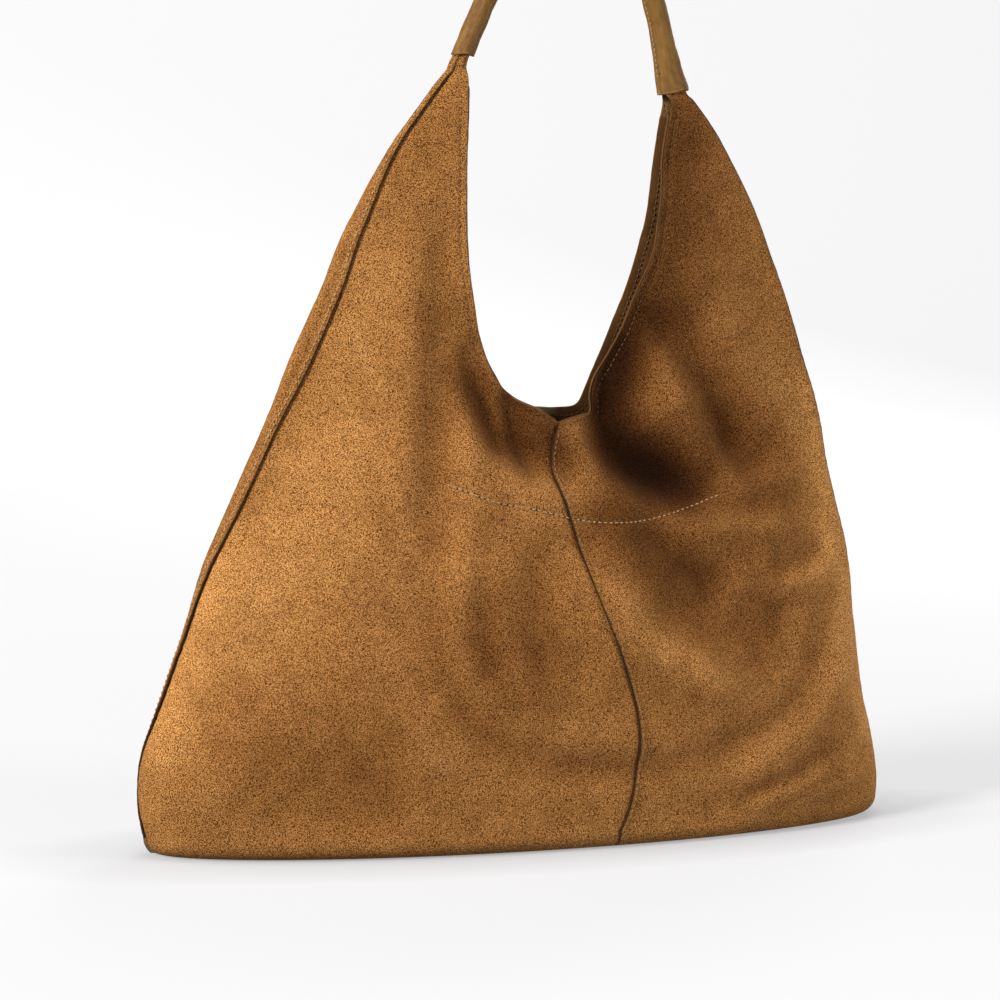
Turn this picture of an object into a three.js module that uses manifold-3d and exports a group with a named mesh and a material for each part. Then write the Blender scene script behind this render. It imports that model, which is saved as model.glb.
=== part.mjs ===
// Slouchy suede hobo bag: four sewn panels, a tubular leather handle, a hanging zip pocket and a snap.
// Millimetres. X runs across the bag, -Y is the front, +Z is up, and the bag stands on z = 0.
import * as THREE from 'three';
import { mergeVertices } from 'three/addons/utils/BufferGeometryUtils.js';
import Module from 'manifold-3d';

const wasm = await Module();
wasm.setup();

// Driving dimensions
const SUEDE = 1.6;
const SEAM_GAP = 0.2;
const BASE_ROUND = 12;
const LEFT = -1;
const RIGHT = 1;
const FRONT = -1;
const BACK = 1;
const COLUMNS = 8;
const RIM_ROWS = 11;
const WALL_ROWS = 8;
const ROUND_ROWS = 3;
const FLOOR_ROWS = 2;
const FACING_WIDTH = 11;
const FACING_THICK = 1;
const FACING_GAP = 1.1;
const FACING_START = 0.14;
const FACING_ROWS = 10;
const FACING_COLUMNS = 2;

// Heights at which each horn's suede ends, and where the row that meets the notch leaves the side seam
const HORN_TOP = { [LEFT]: 477, [RIGHT]: 460 };
const SIDE_AT_NOTCH = { [LEFT]: 222, [RIGHT]: 228 };

// Side edges, half depth and end sharpness of the body, each against height
const leftEdge = track([
  [0, -240], [30, -244], [80, -236], [130, -219.5], [180, -204], [230, -182], [265, -165.5],
  [300, -151.5], [350, -128.5], [375, -118.5], [400, -105.5], [425, -91], [440, -81],
  [455, -69.5], [470, -58], [480, -50],
]);
const rightEdge = track([
  [0, 243], [30, 244], [80, 234], [130, 227], [180, 221], [230, 208], [265, 201.5],
  [300, 190.5], [350, 173.5], [400, 153], [440, 131], [460, 116.5], [480, 101.5],
]);
const halfDepth = track([
  [0, 72], [40, 73], [80, 71.5], [130, 66], [180, 56], [230, 42], [265, 31],
  [300, 25], [350, 20.5], [400, 18], [440, 17.5], [480, 19],
]);
const sharpness = track([[0, 1.15], [80, 1.2], [130, 1.4], [180, 1.6], [230, 1.85], [265, 2], [480, 2]]);

// Centre seams, x against height
const centreSeam = {
  [FRONT]: track([
    [0, 35], [24, 47], [50, 53], [80, 54], [110, 47], [154, 30], [200, 16], [235, 8], [262, 14],
  ]),
  [BACK]: track([[0, 35], [80, 31], [160, 22], [230, 15], [262, 14]]),
};

// Rim of the opening from each horn down to the notch, as x and z
const rimLine = {
  [LEFT]: rim([
    [-38.5, 477], [-39.5, 455], [-41.5, 412], [-42.5, 370], [-39, 338],
    [-26, 294], [-14, 279], [3, 269], [14, 262],
  ]),
  [RIGHT]: rim([
    [96.5, 460], [90.6, 431], [86.5, 398], [79.5, 360], [66, 323],
    [51, 297], [41, 279], [29, 268.5], [14, 262],
  ]),
};

// Hanging zip pocket
const POCKET_LEFT = -62;
const POCKET_RIGHT = 122;
const POCKET_TOP = 189;
const POCKET_BOTTOM = 62;
const POCKET_FRONT_Y = -30.6;
const POCKET_COLUMNS = 8;
const CLOTH = 0.6;
const BACK_CLOTH_TOP = 164.2;
const BACK_CLOTH_Y = -29.4;
const BACK_CLOTH_MOUTH = 2.6;
const BACK_CLOTH_BELLY = 7;
const BACK_CLOTH_ROWS = 6;
const HEADER_THICK = 1.2;
const HEADER_BOTTOM = 190.2;
const HEADER_END_Y = -30.9;
const HEADER_ABOVE_STITCH = 6;
const HEADER_BELOW_STITCH = 2;
const pocketStitch = track([
  [-67, 229], [-48, 219.5], [-33, 214.5], [-10, 209.5], [15, 203.5],
  [40, 200.5], [60, 201], [87, 206], [131, 218.5],
]);

// Zip of the pocket; the slider's sizes are measured from its own centre
const ZIP_Y = -26.6;
const ZIP_Z = 177;
const ZIP_GAP = 0.3;
const TAPE_THICK = 0.6;
const TAPE_WIDTH = 9.5;
const TEETH_LEFT = -55;
const TEETH_RIGHT = 115;
const TEETH_HEIGHT = 1.5;
const TEETH_DEPTH = 1.8;
const TEETH_SPLIT = 1.4;
const STOP_LENGTH = 2.4;
const STOP_DEPTH = 2.6;
const STOP_HEIGHT = 4.4;
const SLIDER_X = -47;
const SLIDER_LENGTH = 8;
const PLATE_HALF = 4.6;
const PLATE_NEAR = 1.4;
const PLATE_FAR = 2.2;
const WEB_HALF = 0.35;
const CROWN_HALF = 3;
const CROWN_ROOM = 2;
const CROWN_CLEAR = 2;
const CROWN_RISE = 2.9;
const CROWN_WIDTH = 2;
const JOIN = 0.2;
const PULLER_BAR = 1.1;
const PULLER_HALF = 3;
const PULLER_LENGTH = 20;
const PULLER_CORNER = 2;
const WINDOW_HALF = 1.6;
const WINDOW_LENGTH = 5.2;

// Magnetic snap; heights in the profiles are measured from the suede side of the patch
const SNAP_X = 16;
const SNAP_Z = 234;
const SNAP_SIDES = 20;
const SNAP_RADIUS = 8.5;
const SNAP_FOOT = 2.2;
const STUD_RADIUS = 3;
const SOCKET_RADIUS = 3.6;
const PATCH_SIZE = 28;
const PATCH_THICK = 1.2;
const PATCH_INSET = 3.8;
const WASHER_THICK = 0.8;
const WASHER_HOLE = 2.5;

// Handle
const HANDLE_WALL = 1.3;
const HANDLE_STEPS = 22;
const HANDLE_SIDES = 12;
const HANDLE_DEPTH = 6.4;
const END_STEPS = 3;
const END_REACH = 0.86;
const CORE_RADIUS = 4.2;
const handleLine = new THREE.CatmullRomCurve3([
  [-41.5, 486], [-26, 521], [-8.5, 557], [11, 585.5], [34, 597], [57, 586], [75, 558], [87, 525], [100, 469],
].map(([x, z]) => new THREE.Vector3(x, 0, z)));
const handleRadius = track([[0, 5.9], [0.15, 6.1], [0.8, 6.6], [0.93, 7.2], [1, 8.4]]);

// Stitching
const STITCH_INSET = 4;
const THREAD_RADIUS = 0.35;
const THREAD_STANDOFF = 0.9;
const THREAD_SIDES = 4;
const POCKET_THREAD_STEPS = 16;

const suede = new THREE.MeshStandardMaterial({ color: 0x9a6a36, roughness: 0.95, metalness: 0 });
const leather = new THREE.MeshStandardMaterial({ color: 0x8c693e, roughness: 0.5, metalness: 0 });
const facingLeather = new THREE.MeshStandardMaterial({ color: 0x6d5530, roughness: 0.7, metalness: 0 });
const cloth = new THREE.MeshStandardMaterial({ color: 0xb39a74, roughness: 0.9, metalness: 0 });
const thread = new THREE.MeshStandardMaterial({ color: 0xa9865a, roughness: 0.8, metalness: 0 });
const cotton = new THREE.MeshStandardMaterial({ color: 0xd8d2c4, roughness: 0.9, metalness: 0 });
const brass = new THREE.MeshStandardMaterial({ color: 0xb08d4a, roughness: 0.35, metalness: 1 });
const steel = new THREE.MeshStandardMaterial({ color: 0xa9a9a6, roughness: 0.3, metalness: 1 });

const bag = new THREE.Group();

// Smooth curve through [key, value] pairs whose keys rise.
function track(pairs) {
  const last = pairs.length - 1;
  const slopes = pairs.map((pair, i) => {
    const before = pairs[Math.max(i - 1, 0)];
    const after = pairs[Math.min(i + 1, last)];
    return (after[1] - before[1]) / (after[0] - before[0]);
  });
  return key => {
    const at = Math.min(Math.max(key, pairs[0][0]), pairs[last][0]);
    let i = 0;
    while (i < last - 1 && at > pairs[i + 1][0]) i += 1;
    const span = pairs[i + 1][0] - pairs[i][0];
    const t = (at - pairs[i][0]) / span;
    const rise = (1 - t) ** 2;
    return (1 + 2 * t) * rise * pairs[i][1] + t * rise * span * slopes[i]
      + t * t * (3 - 2 * t) * pairs[i + 1][1] + t * t * (t - 1) * span * slopes[i + 1];
  };
}

function rim(points) {
  return new THREE.CatmullRomCurve3(points.map(([x, z]) => new THREE.Vector3(x, 0, z)), false, 'centripetal');
}

// The body's horizontal section at one height, drawn in by an inset: centre, half width, half depth.
function section(z, inset) {
  const left = leftEdge(z);
  const right = rightEdge(z);
  const half = (right - left) / 2;
  const depth = halfDepth(z);
  const power = sharpness(z);
  const endInset = inset * (1 + (half / (2 * depth) - 1) * (power - 1));
  return { centre: (left + right) / 2, half: half - endInset, depth: depth - inset, power };
}

// Distance of the panel's surface from the middle plane at one place, drawn in by an inset.
function surfaceY(x, z, face, inset) {
  const { centre, half, depth, power } = section(z, inset);
  const across = Math.min(Math.abs((x - centre) / half), 1);
  return face * depth * (1 - across * across) ** (power / 2);
}

function sectionPoint(shape, side, face, angle, z, shrink) {
  const x = shape.centre + side * (shape.half - shrink) * Math.cos(angle);
  const y = face * Math.max((shape.depth - shrink) * Math.sin(angle) ** shape.power, SEAM_GAP);
  return new THREE.Vector3(x, y, z);
}

function innerAngle(shape, side, x, shrink) {
  return Math.acos(THREE.MathUtils.clamp(side * (x - shape.centre) / (shape.half - shrink), -1, 1));
}

// Where each row of a panel starts on the side seam and ends on the rim or the centre seam.
function wallRows(side, face) {
  const rows = [];
  const curve = rimLine[side];
  const notch = curve.getPointAt(1);
  for (let i = 0; i <= RIM_ROWS; i += 1) {
    const t = i / RIM_ROWS;
    const end = curve.getPointAt(t);
    const outerZ = THREE.MathUtils.lerp(HORN_TOP[side], SIDE_AT_NOTCH[side], t);
    rows.push({ outerZ, innerZ: end.z, innerX: end.x + side * (t === 1 ? SEAM_GAP : 0) });
  }
  for (let i = 1; i <= WALL_ROWS; i += 1) {
    const t = i / WALL_ROWS;
    const innerZ = THREE.MathUtils.lerp(notch.z, BASE_ROUND, t);
    const outerZ = THREE.MathUtils.lerp(SIDE_AT_NOTCH[side], BASE_ROUND, t);
    rows.push({ outerZ, innerZ, innerX: centreSeam[face](innerZ) + side * SEAM_GAP });
  }
  return rows;
}

// One face of a panel as a grid of points: wall rows, the turn at the base, then the base itself.
function panelGrid(side, face, inset) {
  const grid = wallRows(side, face).map(row => {
    const last = innerAngle(section(row.innerZ, inset), side, row.innerX, 0);
    return Array.from({ length: COLUMNS + 1 }, (_, column) => {
      const t = column / COLUMNS;
      const z = THREE.MathUtils.lerp(row.outerZ, row.innerZ, t);
      return sectionPoint(section(z, inset), side, face, t * last, z, 0);
    });
  });
  const radius = BASE_ROUND - inset;
  for (let i = 1; i <= ROUND_ROWS; i += 1) {
    const turn = (Math.PI / 2) * i / ROUND_ROWS;
    const shrink = radius * (1 - Math.cos(turn));
    const z = BASE_ROUND - radius * Math.sin(turn);
    const shape = section(z, inset);
    const last = innerAngle(shape, side, centreSeam[face](z) + side * SEAM_GAP, shrink);
    grid.push(Array.from({ length: COLUMNS + 1 }, (_, column) => (
      sectionPoint(shape, side, face, last * column / COLUMNS, z, shrink)
    )));
  }
  const edge = grid[grid.length - 1];
  for (let i = 1; i <= FLOOR_ROWS; i += 1) {
    grid.push(edge.map(point => new THREE.Vector3(
      point.x,
      THREE.MathUtils.lerp(point.y, face * SEAM_GAP, i / FLOOR_ROWS),
      point.z,
    )));
  }
  return grid;
}

// A closed body between two grids of the same size. The columns of a tube wrap round.
function shellBetween(outer, inner, wraps = false) {
  const rows = outer.length;
  const columns = outer[0].length;
  const positions = [...outer.flat(), ...inner.flat()].flatMap(point => point.toArray());
  const at = (layer, row, column) => (layer * rows + row) * columns + (column % columns);
  const index = [];
  const quad = (a, b, c, d) => index.push(a, b, c, a, c, d);
  const lastRow = rows - 1;
  const lastColumn = wraps ? columns : columns - 1;
  for (let i = 0; i < lastRow; i += 1) {
    for (let j = 0; j < lastColumn; j += 1) {
      quad(at(0, i, j), at(0, i + 1, j), at(0, i + 1, j + 1), at(0, i, j + 1));
      quad(at(1, i, j), at(1, i, j + 1), at(1, i + 1, j + 1), at(1, i + 1, j));
    }
    if (!wraps) {
      quad(at(0, i, 0), at(1, i, 0), at(1, i + 1, 0), at(0, i + 1, 0));
      quad(at(0, i, lastColumn), at(0, i + 1, lastColumn), at(1, i + 1, lastColumn), at(1, i, lastColumn));
    }
  }
  for (let j = 0; j < lastColumn; j += 1) {
    quad(at(0, 0, j), at(0, 0, j + 1), at(1, 0, j + 1), at(1, 0, j));
    quad(at(0, lastRow, j), at(1, lastRow, j), at(1, lastRow, j + 1), at(0, lastRow, j + 1));
  }
  return weld(positions, index);
}

// Merge equal vertices, drop flat triangles and turn the faces outwards.
function weld(positions, index) {
  const raw = new THREE.BufferGeometry();
  raw.setAttribute('position', new THREE.Float32BufferAttribute(positions, 3));
  raw.setIndex(index);
  const merged = mergeVertices(raw, 1e-3);
  const order = merged.getIndex().array;
  const kept = [];
  for (let i = 0; i < order.length; i += 3) {
    const [a, b, c] = [order[i], order[i + 1], order[i + 2]];
    if (a !== b && b !== c && c !== a) kept.push(a, b, c);
  }
  if (signedVolume(merged.getAttribute('position'), kept) < 0) kept.reverse();
  merged.setIndex(kept);
  merged.computeVertexNormals();
  return merged;
}

function signedVolume(position, index) {
  const corner = [new THREE.Vector3(), new THREE.Vector3(), new THREE.Vector3()];
  let volume = 0;
  for (let i = 0; i < index.length; i += 3) {
    corner.forEach((point, k) => point.fromBufferAttribute(position, index[i + k]));
    volume += corner[0].dot(corner[1].clone().cross(corner[2])) / 6;
  }
  return volume;
}

function add(name, geometry, material, parent = bag) {
  const mesh = new THREE.Mesh(geometry, material);
  mesh.name = name;
  parent.add(mesh);
  return mesh;
}

function box(low, high) {
  const size = high.map((value, i) => value - low[i]);
  const geometry = new THREE.BoxGeometry(...size);
  return geometry.translate(...low.map((value, i) => value + size[i] / 2));
}

function solid(geometry) {
  const bare = geometry.clone();
  bare.deleteAttribute('normal');
  bare.deleteAttribute('uv');
  const merged = mergeVertices(bare, 1e-4);
  return new wasm.Manifold(new wasm.Mesh({
    numProp: 3,
    vertProperties: new Float32Array(merged.getAttribute('position').array),
    triVerts: new Uint32Array(merged.getIndex().array),
  }));
}

function geometryOf(manifold) {
  const mesh = manifold.getMesh();
  const geometry = new THREE.BufferGeometry();
  geometry.setAttribute('position', new THREE.BufferAttribute(new Float32Array(mesh.vertProperties), 3));
  geometry.setIndex(new THREE.BufferAttribute(new Uint32Array(mesh.triVerts), 1));
  geometry.computeVertexNormals();
  return geometry;
}

function outline(points, holes = []) {
  const shape = new THREE.Shape(points.map(([x, y]) => new THREE.Vector2(x, y)));
  holes.forEach(hole => shape.holes.push(new THREE.Path(hole.map(([x, y]) => new THREE.Vector2(x, y)))));
  return shape;
}

// A thin thread through a list of points, none of whose steps runs along Y.
function threadThrough(points) {
  const rings = points.map((point, i) => {
    const before = points[Math.max(i - 1, 0)];
    const after = points[Math.min(i + 1, points.length - 1)];
    const along = after.clone().sub(before).normalize();
    const across = new THREE.Vector3(0, 1, 0).cross(along).normalize();
    const up = along.clone().cross(across);
    return Array.from({ length: THREAD_SIDES }, (_, k) => {
      const angle = 2 * Math.PI * k / THREAD_SIDES;
      return point.clone()
        .addScaledVector(across, THREAD_RADIUS * Math.cos(angle))
        .addScaledVector(up, THREAD_RADIUS * Math.sin(angle));
    });
  });
  const positions = rings.flat().flatMap(point => point.toArray());
  const index = [];
  const at = (ring, k) => ring * THREAD_SIDES + (k % THREAD_SIDES);
  const lastRing = rings.length - 1;
  for (let i = 0; i < lastRing; i += 1) {
    for (let k = 0; k < THREAD_SIDES; k += 1) {
      index.push(at(i, k), at(i + 1, k), at(i + 1, k + 1), at(i, k), at(i + 1, k + 1), at(i, k + 1));
    }
  }
  for (let k = 1; k < THREAD_SIDES - 1; k += 1) {
    index.push(at(0, 0), at(0, k), at(0, k + 1), at(lastRing, 0), at(lastRing, k + 1), at(lastRing, k));
  }
  return weld(positions, index);
}

// A point just outside a panel.
function overSurface(x, z, face, standoff = THREAD_STANDOFF) {
  return new THREE.Vector3(x, surfaceY(x, z, face, 0) + face * standoff, z);
}

// Suede panels
const sideName = { [LEFT]: 'left', [RIGHT]: 'right' };
const faceName = { [FRONT]: 'front', [BACK]: 'back' };
for (const face of [FRONT, BACK]) {
  for (const side of [LEFT, RIGHT]) {
    const geometry = shellBetween(panelGrid(side, face, 0), panelGrid(side, face, SUEDE));
    add(`${faceName[face]}_${sideName[side]}_panel`, geometry, suede);
  }
}

// Leather facings inside the rim, from just under each horn to the notch
// A point of the rim, moved into the panel by a distance.
function insideRim(side, t, distance) {
  const curve = rimLine[side];
  const along = curve.getTangentAt(t);
  const away = t === 1 ? new THREE.Vector3(0, 0, -1) : new THREE.Vector3(-side * along.z, 0, side * along.x);
  const point = curve.getPointAt(t).addScaledVector(away, distance);
  if (t === 1) point.x += side * SEAM_GAP;
  return point;
}

function facingGrid(side, face, inset) {
  return Array.from({ length: FACING_ROWS + 1 }, (_, i) => {
    const t = THREE.MathUtils.lerp(FACING_START, 1, i / FACING_ROWS);
    return Array.from({ length: FACING_COLUMNS + 1 }, (__, j) => {
      const point = insideRim(side, t, FACING_WIDTH * j / FACING_COLUMNS);
      point.y = surfaceY(point.x, point.z, face, inset);
      return point;
    });
  });
}

for (const face of [FRONT, BACK]) {
  for (const side of [LEFT, RIGHT]) {
    const near = SUEDE + FACING_GAP;
    const geometry = shellBetween(facingGrid(side, face, near), facingGrid(side, face, near + FACING_THICK));
    add(`${faceName[face]}_${sideName[side]}_rim_facing`, geometry, facingLeather);
  }
}

// Header of the pocket, sewn to the front panels along its top
function pocketSpan() {
  return Array.from({ length: POCKET_COLUMNS + 1 }, (_, i) => (
    THREE.MathUtils.lerp(POCKET_LEFT, POCKET_RIGHT, i / POCKET_COLUMNS)
  ));
}

function headerGrid(offset) {
  const rows = [HEADER_ABOVE_STITCH, -HEADER_BELOW_STITCH].map(rise => pocketSpan().map(x => {
    const z = pocketStitch(x) + rise;
    return new THREE.Vector3(x, surfaceY(x, z, FRONT, SUEDE + FACING_GAP + offset), z);
  }));
  rows.push(pocketSpan().map(x => new THREE.Vector3(x, HEADER_END_Y + offset, HEADER_BOTTOM)));
  return rows;
}
add('pocket_header', shellBetween(headerGrid(0), headerGrid(HEADER_THICK)), facingLeather);

// The pocket itself: a flat front cloth and a back cloth that bellies out from it
add('pocket_front_cloth', box(
  [POCKET_LEFT, POCKET_FRONT_Y, POCKET_BOTTOM],
  [POCKET_RIGHT, POCKET_FRONT_Y + CLOTH, POCKET_TOP],
), cloth);

function backClothGrid(offset) {
  return Array.from({ length: BACK_CLOTH_ROWS + 1 }, (_, i) => {
    const down = i / BACK_CLOTH_ROWS;
    const belly = BACK_CLOTH_MOUTH * (1 - down) + BACK_CLOTH_BELLY * Math.sin(Math.PI * down);
    return pocketSpan().map((x, j) => {
      const across = 2 * j / POCKET_COLUMNS - 1;
      const y = BACK_CLOTH_Y + belly * (1 - across ** 4) + offset;
      return new THREE.Vector3(x, y, THREE.MathUtils.lerp(BACK_CLOTH_TOP, POCKET_BOTTOM, down));
    });
  });
}
add('pocket_back_cloth', shellBetween(backClothGrid(0), backClothGrid(CLOTH)), cloth);

// Zip tapes, teeth and end stops
for (const [name, way] of [['upper', 1], ['lower', -1]]) {
  const teethNear = ZIP_Z + way * TEETH_SPLIT / 2;
  const teethFar = teethNear + way * TEETH_HEIGHT;
  const tapeNear = teethFar + way * ZIP_GAP;
  const tapeFar = tapeNear + way * TAPE_WIDTH;
  add(`zip_${name}_teeth`, box(
    [TEETH_LEFT, ZIP_Y - TEETH_DEPTH / 2, Math.min(teethNear, teethFar)],
    [TEETH_RIGHT, ZIP_Y + TEETH_DEPTH / 2, Math.max(teethNear, teethFar)],
  ), brass);
  add(`zip_${name}_tape`, box(
    [POCKET_LEFT, ZIP_Y - TAPE_THICK / 2, Math.min(tapeNear, tapeFar)],
    [POCKET_RIGHT, ZIP_Y + TAPE_THICK / 2, Math.max(tapeNear, tapeFar)],
  ), cloth);
}
for (const [name, x] of [['left', TEETH_LEFT - ZIP_GAP - STOP_LENGTH], ['right', TEETH_RIGHT + ZIP_GAP]]) {
  add(`zip_${name}_stop`, box(
    [x, ZIP_Y - STOP_DEPTH / 2, ZIP_Z - STOP_HEIGHT / 2],
    [x + STOP_LENGTH, ZIP_Y + STOP_DEPTH / 2, ZIP_Z + STOP_HEIGHT / 2],
  ), brass);
}

// Slider: two plates joined by a web between the rows of teeth, and a crown that holds the puller
const slider = new THREE.Group();
slider.position.set(SLIDER_X, ZIP_Y, ZIP_Z);
bag.add(slider);
const sliderEnd = SLIDER_LENGTH / 2;
const nearPlate = solid(box([-sliderEnd, PLATE_NEAR, -PLATE_HALF], [sliderEnd, PLATE_FAR, PLATE_HALF]));
const farPlate = solid(box([-sliderEnd, -PLATE_FAR, -PLATE_HALF], [sliderEnd, -PLATE_NEAR, PLATE_HALF]));
const webReach = PLATE_NEAR + JOIN;
const web = solid(box([-sliderEnd, -webReach, -WEB_HALF], [sliderEnd, webReach, WEB_HALF]));
const crownShape = outline(
  [[-CROWN_HALF, -JOIN], [CROWN_HALF, -JOIN], [CROWN_HALF, CROWN_RISE], [-CROWN_HALF, CROWN_RISE]],
  [[[-CROWN_ROOM, 0], [-CROWN_ROOM, CROWN_CLEAR], [CROWN_ROOM, CROWN_CLEAR], [CROWN_ROOM, 0]]],
);
const crown = new THREE.ExtrudeGeometry(crownShape, { depth: CROWN_WIDTH, bevelEnabled: false });
crown.translate(0, PLATE_FAR, -CROWN_WIDTH / 2);
add('zip_slider', geometryOf(nearPlate.add(farPlate).add(web).add(solid(crown))), brass, slider);

// Puller: a flat tab with a window at one end, whose end bar passes under the crown
const tabEnd = -PULLER_LENGTH;
const tabCorner = PULLER_HALF - PULLER_CORNER;
const pullerShape = outline(
  [
    [PULLER_BAR / 2, -PULLER_HALF], [PULLER_BAR / 2, PULLER_HALF], [tabEnd + PULLER_CORNER, PULLER_HALF],
    [tabEnd, tabCorner], [tabEnd, -tabCorner], [tabEnd + PULLER_CORNER, -PULLER_HALF],
  ],
  [[
    [-PULLER_BAR / 2, -WINDOW_HALF], [-WINDOW_LENGTH, -WINDOW_HALF],
    [-WINDOW_LENGTH, WINDOW_HALF], [-PULLER_BAR / 2, WINDOW_HALF],
  ]],
);
const puller = new THREE.ExtrudeGeometry(pullerShape, { depth: PULLER_BAR, bevelEnabled: false });
puller.translate(0, 0, -PULLER_BAR / 2).rotateX(Math.PI / 2);
puller.translate(0, PLATE_FAR + CROWN_CLEAR / 2, 0);
add('zip_puller', puller, brass, slider);

// Snap: each half sits on a leather patch, with its washer between the patch and the suede
function patchGrid(face, inset) {
  const reach = PATCH_SIZE / 2;
  return [SNAP_Z + reach, SNAP_Z - reach].map(z => [SNAP_X - reach, SNAP_X, SNAP_X + reach].map(x => (
    new THREE.Vector3(x, surfaceY(x, z, face, inset), z)
  )));
}

function lathe(profile) {
  return new THREE.LatheGeometry(profile.map(([x, y]) => new THREE.Vector2(x, y)), SNAP_SIDES);
}

const washerLow = -ZIP_GAP - WASHER_THICK;
const washerProfile = [
  [WASHER_HOLE, washerLow], [SNAP_RADIUS, washerLow], [SNAP_RADIUS, -ZIP_GAP],
  [WASHER_HOLE, -ZIP_GAP], [WASHER_HOLE, washerLow],
];
const snapProfile = {
  [FRONT]: [
    [0, SNAP_FOOT], [SNAP_RADIUS, SNAP_FOOT], [SNAP_RADIUS, SNAP_FOOT + 2],
    [STUD_RADIUS, SNAP_FOOT + 2], [STUD_RADIUS, SNAP_FOOT + 4], [0, SNAP_FOOT + 4],
  ],
  [BACK]: [
    [0, SNAP_FOOT], [SNAP_RADIUS, SNAP_FOOT], [SNAP_RADIUS, SNAP_FOOT + 4],
    [SOCKET_RADIUS, SNAP_FOOT + 4], [SOCKET_RADIUS, SNAP_FOOT + 1.5], [0, SNAP_FOOT + 1.5],
  ],
};
for (const face of [FRONT, BACK]) {
  const patch = shellBetween(patchGrid(face, PATCH_INSET), patchGrid(face, PATCH_INSET + PATCH_THICK));
  add(`${faceName[face]}_snap_patch`, patch, facingLeather);
  const seat = new THREE.Group();
  const baseY = surfaceY(SNAP_X, SNAP_Z, face, PATCH_INSET);
  const lean = Math.atan(surfaceY(SNAP_X, SNAP_Z + 1, face, PATCH_INSET) - baseY);
  seat.position.set(SNAP_X, baseY, SNAP_Z);
  seat.rotation.x = face === FRONT ? -lean : Math.PI - lean;
  bag.add(seat);
  add(`${faceName[face]}_snap_washer`, lathe(washerProfile), steel, seat);
  add(face === FRONT ? 'snap_stud' : 'snap_socket', lathe(snapProfile[face]), steel, seat);
}

// Handle: a sewn leather tube over a cotton cord, whose ends close in round the points it flexes on
function handleRings(inset) {
  const length = handleLine.getLength();
  const endDepth = HANDLE_DEPTH;
  const steps = [];
  for (let i = END_STEPS; i > 0; i -= 1) steps.push(-END_REACH * endDepth * i / END_STEPS);
  for (let i = 0; i <= HANDLE_STEPS; i += 1) steps.push(length * i / HANDLE_STEPS);
  for (let i = 1; i <= END_STEPS; i += 1) steps.push(length + END_REACH * endDepth * i / END_STEPS);
  return steps.map(distance => {
    const t = THREE.MathUtils.clamp(distance / length, 0, 1);
    const beyond = distance - t * length;
    const along = handleLine.getTangentAt(t);
    const centre = handleLine.getPointAt(t).addScaledVector(along, beyond);
    const across = new THREE.Vector3(-along.z, 0, along.x);
    const taper = Math.sqrt(1 - (beyond / endDepth) ** 2);
    const wide = handleRadius(t) * taper - inset;
    const deep = Math.min(handleRadius(t), HANDLE_DEPTH) * taper - inset;
    return Array.from({ length: HANDLE_SIDES }, (_, k) => {
      const angle = 2 * Math.PI * k / HANDLE_SIDES;
      const point = centre.clone().addScaledVector(across, wide * Math.cos(angle));
      point.y += deep * Math.sin(angle);
      return point;
    });
  });
}
add('handle_cover', shellBetween(handleRings(0), handleRings(HANDLE_WALL), true), leather);

const coreShape = new THREE.Shape().absarc(0, 0, CORE_RADIUS, 0, 2 * Math.PI);
add('handle_core', new THREE.ExtrudeGeometry(coreShape, {
  steps: HANDLE_STEPS, curveSegments: 5, extrudePath: handleLine,
}), cotton);

const handleSeam = handleRings(-THREAD_STANDOFF).slice(END_STEPS + 1, -END_STEPS - 1);
const innerSide = HANDLE_SIDES / 2;
add('handle_thread', threadThrough(handleSeam.map(ring => ring[innerSide])), thread);

// Topstitching of the seams and the rim, and the stitch line that holds the pocket
for (const face of [FRONT, BACK]) {
  const levels = wallRows(RIGHT, face).slice(RIM_ROWS + 1).map(row => row.innerZ);
  const seam = levels.map(z => overSurface(centreSeam[face](z) + STITCH_INSET, z, face));
  add(`${faceName[face]}_centre_thread`, threadThrough(seam), thread);
}
for (const side of [LEFT, RIGHT]) {
  const edge = side === LEFT ? leftEdge : rightEdge;
  const levels = wallRows(side, BACK).slice(1).map(row => row.outerZ);
  const seam = levels.map(z => overSurface(edge(z) - side * STITCH_INSET, z, BACK));
  add(`${sideName[side]}_side_thread`, threadThrough(seam), thread);
}
for (const face of [FRONT, BACK]) {
  for (const side of [LEFT, RIGHT]) {
    const line = Array.from({ length: RIM_ROWS + 1 }, (_, i) => {
      const point = insideRim(side, THREE.MathUtils.lerp(FACING_START, 0.98, i / RIM_ROWS), STITCH_INSET);
      return overSurface(point.x, point.z, face);
    });
    add(`${faceName[face]}_${sideName[side]}_rim_thread`, threadThrough(line), thread);
  }
}
const pocketLine = Array.from({ length: POCKET_THREAD_STEPS + 1 }, (_, i) => {
  const x = THREE.MathUtils.lerp(POCKET_LEFT, POCKET_RIGHT, i / POCKET_THREAD_STEPS);
  return overSurface(x, pocketStitch(x), FRONT, 2 * THREAD_STANDOFF);
});
add('pocket_thread', threadThrough(pocketLine), thread);

export default bag;
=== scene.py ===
import math

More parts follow.
